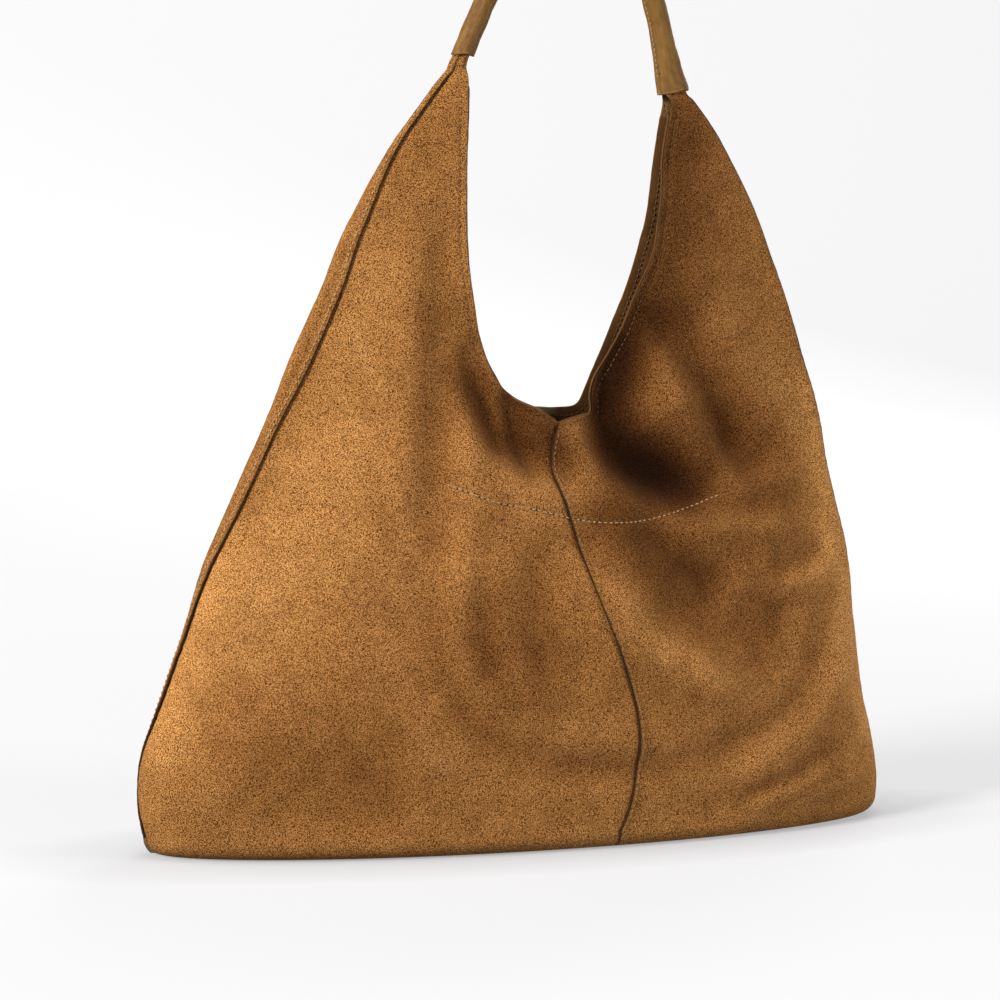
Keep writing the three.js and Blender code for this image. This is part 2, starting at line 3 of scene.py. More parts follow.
import bpy
import numpy as np
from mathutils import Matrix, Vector


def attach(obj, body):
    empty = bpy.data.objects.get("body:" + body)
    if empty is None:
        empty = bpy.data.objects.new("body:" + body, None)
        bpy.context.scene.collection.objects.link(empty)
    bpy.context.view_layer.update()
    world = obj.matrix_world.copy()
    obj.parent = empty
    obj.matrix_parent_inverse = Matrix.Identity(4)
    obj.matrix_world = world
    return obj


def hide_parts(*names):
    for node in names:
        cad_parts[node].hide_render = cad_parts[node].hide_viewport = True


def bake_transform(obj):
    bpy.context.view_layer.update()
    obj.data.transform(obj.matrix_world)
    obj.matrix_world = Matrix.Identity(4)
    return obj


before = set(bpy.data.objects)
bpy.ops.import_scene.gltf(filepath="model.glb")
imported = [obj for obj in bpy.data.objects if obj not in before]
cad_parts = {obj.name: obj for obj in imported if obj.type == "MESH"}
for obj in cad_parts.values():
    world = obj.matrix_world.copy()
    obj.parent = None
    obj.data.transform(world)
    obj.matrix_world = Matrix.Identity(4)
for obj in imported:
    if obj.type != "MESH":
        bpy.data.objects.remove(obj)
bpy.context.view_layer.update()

# The looks of a slouchy suede hobo bag. Shapes are worked out in millimetres, in the same frame
# as the CAD: X across the bag, -Y its front, +Z up. Meshes are made in metres.

MM = 0.001
LEFT, RIGHT = -1, 1
FRONT, BACK = -1, 1
SIDE_NAME = {LEFT: "left", RIGHT: "right"}
FACE_NAME = {FRONT: "front", BACK: "back"}
QUARTERS = [(face, side) for face in (FRONT, BACK) for side in (LEFT, RIGHT)]


def quarter_name(face, side):
    return f"{FACE_NAME[face]}_{SIDE_NAME[side]}"


# ---------------- curves

def track(pairs):
    """Smooth curve through (key, value) pairs whose keys rise; the key is held at its ends."""
    keys = np.array([pair[0] for pair in pairs], float)
    values = np.array([pair[1] for pair in pairs], float)
    last = len(keys) - 1
    before = np.maximum(np.arange(last + 1) - 1, 0)
    after = np.minimum(np.arange(last + 1) + 1, last)
    slopes = (values[after] - values[before]) / (keys[after] - keys[before])

    def value(key):
        at = np.clip(np.asarray(key, float), keys[0], keys[-1])
        i = np.clip(np.searchsorted(keys, at, side="right") - 1, 0, last - 1)
        span = keys[i + 1] - keys[i]
        t = (at - keys[i]) / span
        fall = (1 - t) ** 2
        return ((1 + 2 * t) * fall * values[i] + t * fall * span * slopes[i]
                + t * t * (3 - 2 * t) * values[i + 1] + t * t * (t - 1) * span * slopes[i + 1])

    return value


def smooth_line(points, count):
    """Centripetal curve through points, as count points evenly spaced along it."""
    points = np.asarray(points, float)
    ends = np.vstack([2 * points[0] - points[1], points, 2 * points[-1] - points[-2]])
    dense = []
    for i in range(len(points) - 1):
        p0, p1, p2, p3 = ends[i:i + 4]
        d0, d1, d2 = (max(np.linalg.norm(b - a), 1e-6) ** 0.5 for a, b in ((p0, p1), (p1, p2), (p2, p3)))
        m1 = ((p1 - p0) / d0 - (p2 - p0) / (d0 + d1) + (p2 - p1) / d1) * d1
        m2 = ((p2 - p1) / d1 - (p3 - p1) / (d1 + d2) + (p3 - p2) / d2) * d1
        t = np.linspace(0, 1, 60, endpoint=i == len(points) - 2)[:, None]
        dense.append(p1 + m1 * t + (-3 * p1 + 3 * p2 - 2 * m1 - m2) * t ** 2
                     + (2 * p1 - 2 * p2 + m1 + m2) * t ** 3)
    return resample(np.vstack(dense), count)


def lengths(points):
    """How far along its line each point lies."""
    return np.concatenate([[0], np.cumsum(np.linalg.norm(np.diff(points, axis=0), axis=1))])


def at_length(at, along, rows):
    """Values at lengths along a line, from one row of values for each of its points."""
    return np.stack([np.interp(at, along, rows[:, k]) for k in range(rows.shape[1])], -1)


def resample(points, count):
    along = lengths(points)
    return at_length(np.linspace(0, along[-1], count), along, points)


def smoothstep(low, high, value):
    t = np.clip((np.asarray(value, float) - low) / (high - low), 0, 1)
    return t * t * (3 - 2 * t)


def bell(value, middle, width):
    """1 at the middle, falling off evenly on both sides."""
    return np.exp(-0.5 * ((value - middle) / width) ** 2)


def unit(vectors):
    return vectors / np.maximum(np.linalg.norm(vectors, axis=-1, keepdims=True), 1e-9)


def full_turn(count):
    return np.linspace(0, 2 * math.pi, count, endpoint=False)


def waves(count, shortest, longest, seed):
    """Soft irregular undulation over x and z, from about -1 to 1."""
    random = np.random.default_rng(seed)
    wavelength = np.exp(random.uniform(math.log(shortest), math.log(longest), count))
    heading = random.uniform(0, math.pi, count)
    phase = random.uniform(0, 2 * math.pi, count)

    def value(x, z):
        total = np.zeros(np.broadcast(x, z).shape)
        for length, angle, shift in zip(wavelength, heading, phase):
            total += np.sin(2 * math.pi * (x * math.cos(angle) + z * math.sin(angle)) / length + shift)
        return total / math.sqrt(count)

    return value


# ---------------- the body's shape

LEFT_EDGE = track([
    (0, -240), (14, -244), (30, -246.8), (50, -246.5), (64, -243.5), (80, -238), (105, -229), (130, -220.5),
    (155, -213), (180, -204.5), (230, -182), (265, -165.5), (300, -151.5), (350, -128.5), (375, -118.5),
    (400, -105.5), (425, -91), (440, -81), (455, -69.5), (470, -58), (480, -50)])
RIGHT_EDGE = track([
    (0, 243), (30, 244), (80, 234), (130, 227), (155, 225), (180, 221), (230, 208), (265, 201.5),
    (300, 190.5), (350, 173.5), (400, 153), (440, 131), (460, 116.5), (480, 101.5)])
HALF_DEPTH = track([
    (0, 72), (40, 73), (80, 71.5), (130, 66), (180, 56), (230, 42), (265, 31),
    (300, 25), (350, 20.5), (400, 18), (440, 17.5), (480, 19)])
SHARPNESS = track([(0, 1.15), (80, 1.2), (130, 1.4), (180, 1.6), (230, 1.85), (265, 2), (480, 2)])
END_ROUND = track([(0, 9), (130, 8), (265, 6), (400, 5), (480, 2.4)])

CENTRE_SEAM = {
    FRONT: track([
        (0, 35), (24, 47), (50, 53), (80, 54), (110, 47), (154, 30), (200, 16), (235, 8), (262, 14)]),
    BACK: track([(0, 35), (80, 31), (160, 22), (230, 15), (270, 14)]),
}

# How far round from the body's end each side seam lies, towards the front
SEAM_ROUND = {
    LEFT: track([
        (0, -2), (14, -4), (36, -9), (54, -9), (76, -5), (96, 0), (125, 2), (150, 4),
        (194, 8), (229, 9), (264, 9), (302, 14), (384, 11), (430, 5), (480, 3)]),
    RIGHT: track([(0, -2), (480, -3)]),
}

# Rims of the opening, from each horn down to the notch, as x and z
RIM = {
    (FRONT, LEFT): [
        (-38.5, 477), (-39.5, 455), (-41.5, 412), (-42.5, 370), (-39, 338),
        (-26, 294), (-14, 279), (3, 269), (14, 262)],
    (FRONT, RIGHT): [
        (96.5, 460), (90.6, 431), (86.5, 398), (79.5, 360), (66, 323),
        (54, 301), (45, 289), (42.2, 280), (43.2, 272.6), (41.6, 269.6), (33, 267.2), (23, 264.6), (14, 262)],
    (BACK, LEFT): [
        (-38.5, 477), (-39.5, 455), (-41.5, 412), (-42.5, 370), (-39, 338),
        (-27, 296), (-16, 281), (0, 271.5), (14, 269.5)],
    (BACK, RIGHT): [
        (96.5, 460), (92.6, 431), (89.5, 400), (84.5, 376), (76, 345.5), (65.5, 319),
        (56.5, 297), (49.5, 281), (45, 272.6), (41, 270.2), (29, 269.2), (14, 269.5)],
}

HORN_TOP = {LEFT: 477, RIGHT: 460}
NECK_TOP = {LEFT: 497, RIGHT: 480}
SIDE_AT_NOTCH = {LEFT: 222, RIGHT: 228}
BASE_ROUND = 12
SUEDE = 1.7

# Where each neck runs up inside the handle: x against height, half width and half depth,
# the heights between which the horn draws together, and those over which its seams fade out
NECK_X = {
    LEFT: track([(440, -55), (470, -44.8), (480, -43.4), (487, -41.2), (497, -36.8)]),
    RIGHT: track([(430, 112), (452, 101.5), (462, 100.2), (469, 99.6), (480, 97.4)]),
}
NECK_HALF = {LEFT: (5.2, 4.7), RIGHT: (8.8, 5.1)}
NECK_FROM = {LEFT: 473, RIGHT: 463}
NECK_FULL = {LEFT: 490, RIGHT: 470}
NECK_FADE = {LEFT: (490, 470), RIGHT: (474, 455)}

# The unfolded body is worked out once, on levels this far apart and with this many steps across
Z_STEP = 2.0
Z_LEVELS = np.arange(0, 501, Z_STEP)
F_COUNT = 600


def end_to_end(z):
    """The front half of the body's section at one height, evenly spaced from its left end to its right."""
    left, right, rounding = float(LEFT_EDGE(z)), float(RIGHT_EDGE(z)), float(END_ROUND(z))
    half = (right - left) / 2 - rounding
    depth = float(HALF_DEPTH(z)) - rounding
    power = float(SHARPNESS(z))
    centre = (left + right) / 2
    turn = math.pi * (0.5 - 0.5 * np.cos(math.pi * np.linspace(0, 1, 301)))[1:-1]
    sine, cosine = np.sin(turn), np.cos(turn)
    line = np.stack([centre - half * cosine, -depth * sine ** power], 1)
    along = unit(np.stack([half * sine, -depth * power * sine ** (power - 1) * cosine], 1))
    line += rounding * np.stack([along[:, 1], -along[:, 0]], 1)
    opening = math.atan2(along[0, 0], -along[0, 1])
    fan = np.linspace(0, opening, 16)[:-1]
    cap = np.stack([-rounding * np.cos(fan), -rounding * np.sin(fan)], 1)
    left_cap = cap + [centre - half, 0]
    right_cap = cap[::-1] * [-1, 1] + [centre + half, 0]
    line = np.vstack([left_cap, line, right_cap])
    return resample(line, F_COUNT + 1), lengths(line)[-1]


_sections = [end_to_end(z) for z in Z_LEVELS]
SECTION = np.stack([section[0] for section in _sections])
REACH = np.array([section[1] for section in _sections])


def reach(z):
    """Length of the body's front from end to end at a height."""
    return np.interp(z, Z_LEVELS, REACH)


def base_point(z, f, face):
    """A point of the unfolded body.

    f runs from 0 at the left end to 1 at the right, and past them round to the other face.
    """
    z, f = np.broadcast_arrays(np.asarray(z, float), np.asarray(f, float))
    around = np.where((f < 0) | (f > 1), -1, 1)
    inside = np.where(f < 0, -f, np.where(f > 1, 2 - f, f))
    row = np.clip(z / Z_STEP, 0, len(Z_LEVELS) - 1.001)
    column = np.clip(inside * F_COUNT, 0, F_COUNT - 0.001)
    i, j = row.astype(int), column.astype(int)
    a, b = (row - i)[..., None], (column - j)[..., None]
    xy = ((1 - a) * ((1 - b) * SECTION[i, j] + b * SECTION[i, j + 1])
          + a * ((1 - b) * SECTION[i + 1, j] + b * SECTION[i + 1, j + 1]))
    return np.stack([xy[..., 0], -face * around * xy[..., 1], z], -1)


def base_normal(z, f, face):
    """The way out of the unfolded body."""
    span, rise = 0.004, Z_STEP
    across = base_point(z, f + span, face) - base_point(z, f - span, face)
    up = base_point(z + rise, f, face) - base_point(np.maximum(z - rise, 0), f, face)
    return unit(-face * np.cross(across, up))


def across_at(x, z):
    """The f at which the unfolded body has a given x, at a given height."""
    x, z = np.broadcast_arrays(np.asarray(x, float), np.asarray(z, float))
    found = np.empty(x.size)
    for k, (px, pz) in enumerate(zip(x.ravel(), z.ravel())):
        row = min(max(pz / Z_STEP, 0), len(Z_LEVELS) - 1.001)
        i = int(row)
        xs = (1 - row + i) * SECTION[i, :, 0] + (row - i) * SECTION[i + 1, :, 0]
        found[k] = np.interp(px, xs, np.arange(F_COUNT + 1) / F_COUNT)
    return found.reshape(x.shape)


# ---------------- folds

# Each fold: height out of the bag, widths on both sides of its line, and its line in x and z
FRONT_FOLDS = [
    (3.0, 34, 34, [(-56, 450), (-92, 338), (-148, 217), (-195, 128), (-226, 49)]),
    (-3.0, 8, 10, [(-96, 425), (-125, 345), (-157, 265), (-178, 205), (-196, 150)]),
    (-3.0, 10, 11, [
        (-50, 452), (-54, 400), (-58, 330), (-63, 260), (-70, 190), (-74, 130), (-67, 98), (-48, 76)]),
    (-3.6, 7, 10, [(-78, 170), (-76, 130), (-67, 98), (-48, 76), (-18, 58), (20, 51), (72, 50), (120, 56)]),
    (-4.0, 8, 12, [(60, 50), (125, 58), (166, 77), (191, 108), (205, 160)]),
    (2.4, 8, 8, [(-66, 420), (-76, 320), (-86, 230), (-94, 150)]),
    (3.6, 8, 9, [(-42, 440), (-40, 338), (-44, 277), (-53, 190), (-60, 140), (-52, 104), (-30, 80)]),
    (-9.0, 14, 14, [(-46, 350), (-30, 290), (0, 245), (30, 225)]),
    (-5.0, 6, 6, [(-48, 322), (-36, 280), (-26, 250), (-14, 226)]),
    (2.6, 4, 4, [(-20, 300), (-22, 262), (-16, 230)]),
    (-6.0, 6, 6, [(-18, 298), (-13, 262), (-5, 238), (6, 222)]),
    (2.4, 4, 4, [(4, 285), (3, 258), (3, 226)]),
    (5.0, 10, 11, [(-70, 270), (-50, 256), (-28, 232), (5, 214), (40, 204)]),
    (-18.0, 20, 11, [(86, 376), (71, 340), (60, 312), (53, 290), (49, 266), (54, 245), (80, 227), (126, 218)]),
    (-6.0, 30, 24, [(60, 262), (105, 244), (150, 244), (195, 256)]),
    (5.0, 9, 10, [(54, 352), (74, 316), (97, 272), (114, 240), (122, 222)]),
    (-7.0, 10, 9, [(74, 360), (104, 310), (128, 271), (146, 235), (162, 218)]),
    (4.0, 12, 10, [(116, 350), (142, 300), (166, 262), (188, 236)]),
    (4.0, 30, 30, [(84, 420), (104, 375), (130, 330)]),
    (3.6, 7, 8, [(116, 214), (150, 221), (192, 226)]),
    (4.0, 6, 7, [(74, 199), (104, 195), (150, 192), (186, 188)]),
    (-7.0, 8, 8, [(48, 208), (74, 190), (100, 171), (132, 146)]),
    (7.0, 12, 10, [(22, 196), (34, 168), (50, 143), (70, 122), (104, 102), (156, 82)]),
    (-7.0, 28, 26, [(76, 176), (120, 134), (162, 120), (196, 128)]),
    (3.6, 13, 11, [(80, 26), (146, 52), (198, 86), (224, 140), (220, 200)]),
    (-2.2, 8, 8, [(-50, 172), (-45, 130), (-36, 92)]),
    (1.8, 8, 8, [(-36, 160), (-29, 120), (-18, 90)]),
    (-4.0, 10, 9, [(-8, 200), (-8, 149), (-4, 95)]),
    (1.6, 4, 4, [(110, 12), (165, 26), (226, 46)]),
    (-1.8, 4, 4, [(116, 22), (160, 36), (222, 62)]),
    (1.3, 4, 4, [(150, 12), (190, 22), (232, 34)]),
    (-1.6, 4, 4, [(182, 10), (212, 18), (238, 26)]),
    (-4.0, 26, 22, [(-215, 40), (-142, 46), (-80, 42)]),
    (-3.0, 7, 7, [(150, 160), (180, 170), (208, 186)]),
    (2.6, 7, 7, [(140, 148), (175, 156), (212, 168)]),
]
BACK_FOLDS = [
    (-7.0, 9, 9, [(118, 430), (132, 340), (122, 250), (112, 150), (104, 80)]),
    (4.0, 9, 9, [(100, 430), (112, 330), (104, 240), (94, 160)]),
    (-6.0, 10, 9, [(-70, 420), (-96, 320), (-92, 220), (-70, 130), (-20, 70)]),
    (3.6, 9, 9, [(-84, 400), (-116, 310), (-118, 210), (-96, 120)]),
    (-9.0, 36, 18, [(-130, 262), (-60, 240), (10, 236), (80, 246), (150, 262)]),
    (3.6, 10, 11, [(-80, 205), (-20, 196), (50, 198), (120, 210)]),
    (-4.0, 10, 12, [(-120, 70), (-40, 48), (60, 46), (140, 70), (190, 130)]),
    (3.0, 10, 10, [(-60, 150), (0, 110), (70, 104), (130, 130)]),
    (-3.0, 8, 8, [(40, 190), (60, 140), (56, 96)]),
    (2.6, 12, 12, [(-200, 60), (-150, 90), (-110, 150)]),
    (-2.2, 5, 5, [(-4, 280), (-10, 240), (-24, 205)]),
    (-2.2, 5, 5, [(36, 285), (38, 245), (46, 205)]),
]
# Painted light and shade on the front: the suede's colour darkened as shade (below 0) or lightened as light, in
# the same form as the folds
FRONT_PAINTED_SHADING = [
    (-2.5, 13, 12, [(80, 350), (69, 326), (60, 304), (54, 284), (53, 262), (61, 244), (86, 227), (128, 219)]),
    (-0.5, 10, 10, [(30, 258), (56, 228), (90, 214), (128, 214)]),
    (-0.6, 12, 11, [(76, 352), (104, 310), (128, 271), (146, 235), (160, 222)]),
    (-0.9, 22, 24, [(104, 500), (96, 430), (88, 372), (74, 325), (56, 290)]),
    (-0.65, 26, 26, [(54, 262), (104, 236), (150, 234), (198, 248)]),
    (-1.0, 11, 10, [(-50, 312), (-40, 284), (-24, 256), (6, 230)]),
    (-1.1, 10, 10, [(-14, 304), (0, 264), (9, 246), (24, 222)]),
    (-0.26, 12, 12, [(-60, 430), (-68, 320), (-72, 250), (-76, 180)]),
    (-0.9, 14, 15, [(16, 230), (42, 204), (68, 180), (98, 164), (124, 152)]),
    (-0.35, 22, 22, [(90, 165), (130, 140), (176, 136)]),
    (-0.2, 34, 26, [(-215, 48), (-150, 56), (-70, 52)]),
    (-0.35, 30, 30, [(-60, 170), (-20, 120), (20, 90)]),
    (-0.12, 9, 9, [(-48, 160), (-44, 128), (-38, 100)]),
    (0.4, 11, 11, [(-242, 40), (-236, 75), (-222, 120), (-204, 170), (-186, 220)]),
    (-0.25, 16, 16, [(-120, 430), (-150, 330), (-180, 250)]),
    (0.32, 26, 24, [(-58, 440), (-96, 338), (-142, 217), (-186, 128), (-222, 70)]),
    (0.25, 8, 8, [(30, 180), (42, 156), (60, 130), (90, 108), (136, 88), (164, 82)]),
    (0.06, 12, 12, [(90, 28), (150, 50), (204, 88), (224, 150)]),
    (0.6, 17, 17, [(240, -30), (234, 60), (220, 130), (210, 190), (196, 250), (170, 330)]),
    (0.15, 16, 16, [(-236, -30), (-240, 30), (-234, 64), (-220, 110)]),
    (0.28, 8, 8, [(-260, 3), (-140, 2), (0, 2), (120, 3), (250, 8)]),
]


def smoothed(strokes):
    return [(*size, smooth_line(line, 40)) for *size, line in strokes]


_folds = {FRONT: smoothed(FRONT_FOLDS), BACK: smoothed(BACK_FOLDS)}
_painted_shading = smoothed(FRONT_PAINTED_SHADING)
_broad = waves(9, 55, 130, 5)
_middle = waves(14, 18, 42, 6)
_small = waves(18, 6, 13, 7)
BROAD_HEIGHT, MIDDLE_HEIGHT, SMALL_HEIGHT = 0.8, 0.22, 0.07


def close_to(line, x, z, margin):
    """Which points lie in the box around a line, made larger by a margin."""
    low, high = line.min(0) - margin, line.max(0) + margin
    return (x > low[0]) & (x < high[0]) & (z > low[1]) & (z < high[1])


def fold_height(x, z, fold):
    """Height of one fold at points: a bell across its line that fades in and out along it."""
    height, left_width, right_width, line = fold
    near = close_to(line, x, z, 3.2 * max(left_width, right_width))
    total = np.zeros(x.shape)
    if not near.any():
        return total
    point = np.stack([x[near], z[near]], 1)
    start, step = line[:-1], np.diff(line, axis=0)
    offset = point[:, None] - start[None]
    t = np.clip((offset * step).sum(2) / (step ** 2).sum(1), 0, 1)
    away = offset - t[..., None] * step
    distance = np.linalg.norm(away, axis=2)
    best = distance.argmin(1)
    pick = np.arange(len(point))
    side = step[best, 0] * away[pick, best, 1] - step[best, 1] * away[pick, best, 0]
    width = np.where(side > 0, left_width, right_width)
    along = (best + t[pick, best]) / len(step)
    fade = smoothstep(0, 0.3, along) * smoothstep(0, 0.3, 1 - along)
    total[near] = height * fade * np.exp(-0.5 * (distance[pick, best] / width) ** 2)
    return total


def sum_of_folds(x, z, folds):
    total = np.zeros(x.shape)
    for fold in folds:
        total += fold_height(x, z, fold)
    return total


def folded(point):
    """How far the suede stands out from the unfolded body at points of it."""
    shape = point.shape[:-1]
    x, y, z = (point[..., k].ravel() for k in range(3))
    front = smoothstep(6, -6, y)
    total = np.zeros(x.shape)
    for share, face in ((front, FRONT), (1 - front, BACK)):
        used = share > 0
        total[used] += share[used] * sum_of_folds(x[used], z[used], _folds[face])
    end = np.minimum(x - LEFT_EDGE(z), RIGHT_EDGE(z) - x)
    calm = smoothstep(0, 26, end) * 0.85 + 0.15
    quiet = smoothstep(470, 400, z)
    total = total * calm * (0.35 + 0.65 * quiet)
    total += (BROAD_HEIGHT * _broad(x, z) + MIDDLE_HEIGHT * _middle(x, z)) * quiet * (0.3 + 0.7 * calm)
    total += SMALL_HEIGHT * _small(x, z)
    return (total * smoothstep(-4, 26, z)).reshape(shape)


def morph_to_neck(point, f, face, side):
    """Draws the top of a horn together into the round neck that runs up inside the handle."""
    z = point[..., 2]
    amount = smoothstep(NECK_FROM[side], NECK_FULL[side], z)[..., None]
    if not (amount > 0).any():
        return point
    rim = np.asarray(RIM[face, side], float)
    rim_x = np.interp(z, rim[::-1, 1], rim[::-1, 0])
    flat = across_at(rim_x.ravel(), np.minimum(z, 480).ravel()).reshape(z.shape)
    from_end = f if side == LEFT else 1 - f
    rim_from_end = flat if side == LEFT else 1 - flat
    angle = np.radians(168) * np.clip(from_end / np.maximum(rim_from_end, 1e-4), -1.2, 1.04)
    wide, deep = NECK_HALF[side]
    pleat = 1 + 0.06 * np.cos(7 * angle + 1.3 * face)
    target = np.stack([
        NECK_X[side](z) + side * wide * pleat * np.cos(angle),
        face * deep * pleat * np.sin(angle),
        z], -1)
    return point * (1 - amount) + target * amount


def skin(x, z, face, inset=0.0, side=None):
    """A point of the finished suede, or under it by an inset, and the way out of the bag there."""
    x, z = np.broadcast_arrays(np.asarray(x, float), np.asarray(z, float))
    f = across_at(x, z)

    def on_suede(dx, dz):
        g = across_at(x + dx, z + dz) if dx or dz else f
        flat = base_point(z + dz, g, face)
        point = flat + base_normal(z + dz, g, face) * folded(flat)[..., None]
        return point if side is None else morph_to_neck(point, g, face, side)

    here = on_suede(0, 0)
    facing_out = unit(-face * np.cross(on_suede(1.5, 0) - here, on_suede(0, 1.5) - here))
    return here - facing_out * np.asarray(inset)[..., None], facing_out


# ---------------- meshes

def make_object(name, vertices, faces, materials, face_materials=None, attributes=()):
    mesh = bpy.data.meshes.new(name)
    faces = [tuple(int(i) for i in face) for face in faces]
    mesh.from_pydata((np.asarray(vertices) * MM).tolist(), [], faces)
    for material in materials:
        mesh.materials.append(material)
    if face_materials is not None:
        mesh.polygons.foreach_set("material_index", np.asarray(face_materials, np.int32))
    mesh.polygons.foreach_set("use_smooth", np.full(len(mesh.polygons), True))
    for label, values in attributes:
        attribute = mesh.attributes.new(label, "FLOAT", "POINT")
        attribute.data.foreach_set("value", np.asarray(values, np.float32))
    mesh.update()
    obj = bpy.data.objects.new(name, mesh)
    bpy.context.scene.collection.objects.link(obj)
    return obj


def grid_faces(rows, columns, start=0, wraps=False, flip=False):
    """Quads between the points of a grid, row after row."""
    count = columns if wraps else columns - 1
    i, j = np.meshgrid(np.arange(rows - 1), np.arange(count), indexing="ij")
    k = (j + 1) % columns
    quads = np.stack([i * columns + j, (i + 1) * columns + j, (i + 1) * columns + k, i * columns + k], -1)
    quads = quads.reshape(-1, 4) + start
    return quads[:, ::-1] if flip else quads


def grid_normals(grid):
    return unit(np.cross(np.gradient(grid, axis=1), np.gradient(grid, axis=0)))


def border(rows, columns):
    """Rows and columns of the grid's points all the way round its edge."""
    top = [(0, j) for j in range(columns)]
    right = [(i, columns - 1) for i in range(1, rows)]
    bottom = [(rows - 1, j) for j in range(columns - 2, -1, -1)]
    left = [(i, 0) for i in range(rows - 2, 0, -1)]
    return np.array(top + right + bottom + left)


def sheet_mesh(outer, inner, edge_bulge=0.35):
    """Closed body between two grids: outer face, inner face and a rounded edge, of kinds 0, 1 and 2."""
    rows, columns = outer.shape[:2]
    size = rows * columns
    loop = border(rows, columns)
    flat = loop[:, 0] * columns + loop[:, 1]
    edge_outer, edge_inner = outer.reshape(-1, 3)[flat], inner.reshape(-1, 3)[flat]
    inwards = np.clip(loop, 1, [rows - 2, columns - 2])
    away = unit(edge_outer - outer[inwards[:, 0], inwards[:, 1]])
    bulge = edge_bulge * np.linalg.norm(edge_outer - edge_inner, axis=1)[:, None]
    rings = [edge_outer * (1 - t) + edge_inner * t + away * bulge * math.sin(math.pi * t)
             for t in (0.2, 0.5, 0.8)]
    vertices = np.vstack([outer.reshape(-1, 3), inner.reshape(-1, 3), *rings])
    faces = [grid_faces(rows, columns), grid_faces(rows, columns, size, flip=True)]
    kinds = [np.zeros(len(faces[0])), np.ones(len(faces[1]))]
    count = len(flat)
    levels = [flat, *[2 * size + k * count + np.arange(count) for k in range(3)], flat + size]
    nxt = np.roll(np.arange(count), -1)
    for upper, lower in zip(levels[:-1], levels[1:]):
        faces.append(np.stack([upper, upper[nxt], lower[nxt], lower], 1))
        kinds.append(np.full(count, 2))
    return vertices, np.vstack(faces), np.concatenate(kinds)


def outwards(vertices, faces):
    """The body's quads, all turned if it is inside out."""
    a, b, c, d = (vertices[faces[:, k]] for k in range(4))
    volume = (a * np.cross(b, c)).sum()
    volume += (a * np.cross(c, d)).sum()
    return faces if volume > 0 else faces[:, ::-1]


def box_blur(field, passes):
    """Each value blended with its four neighbours, as many times as passes."""
    for _ in range(passes):
        padded = np.pad(field, 1, mode="edge")
        field = (padded[:-2, 1:-1] + padded[2:, 1:-1] + padded[1:-1, :-2] + padded[1:-1, 2:]
                 + 2 * padded[1:-1, 1:-1]) / 6
    return field


def join_parts(parts):
    """Several (vertices, faces) of quads as one."""
    vertices, faces, start = [], [], 0
    for v, f in parts:
        vertices.append(v)
        faces.append(f + start)
        start += len(v)
    return np.vstack(vertices), np.vstack(faces)


def tube(rings):
    """Body through rings of points, each (count, 3), with its ends drawn to a middle point."""
    rings = np.asarray(rings, float)
    first, last = (np.repeat(end.mean(1, keepdims=True), rings.shape[1], 1) for end in (rings[:1], rings[-1:]))
    rings = np.concatenate([first, rings, last])
    rows, columns = rings.shape[:2]
    vertices = rings.reshape(-1, 3)
    return vertices, outwards(vertices, grid_faces(rows, columns, wraps=True))


# ---------------- materials

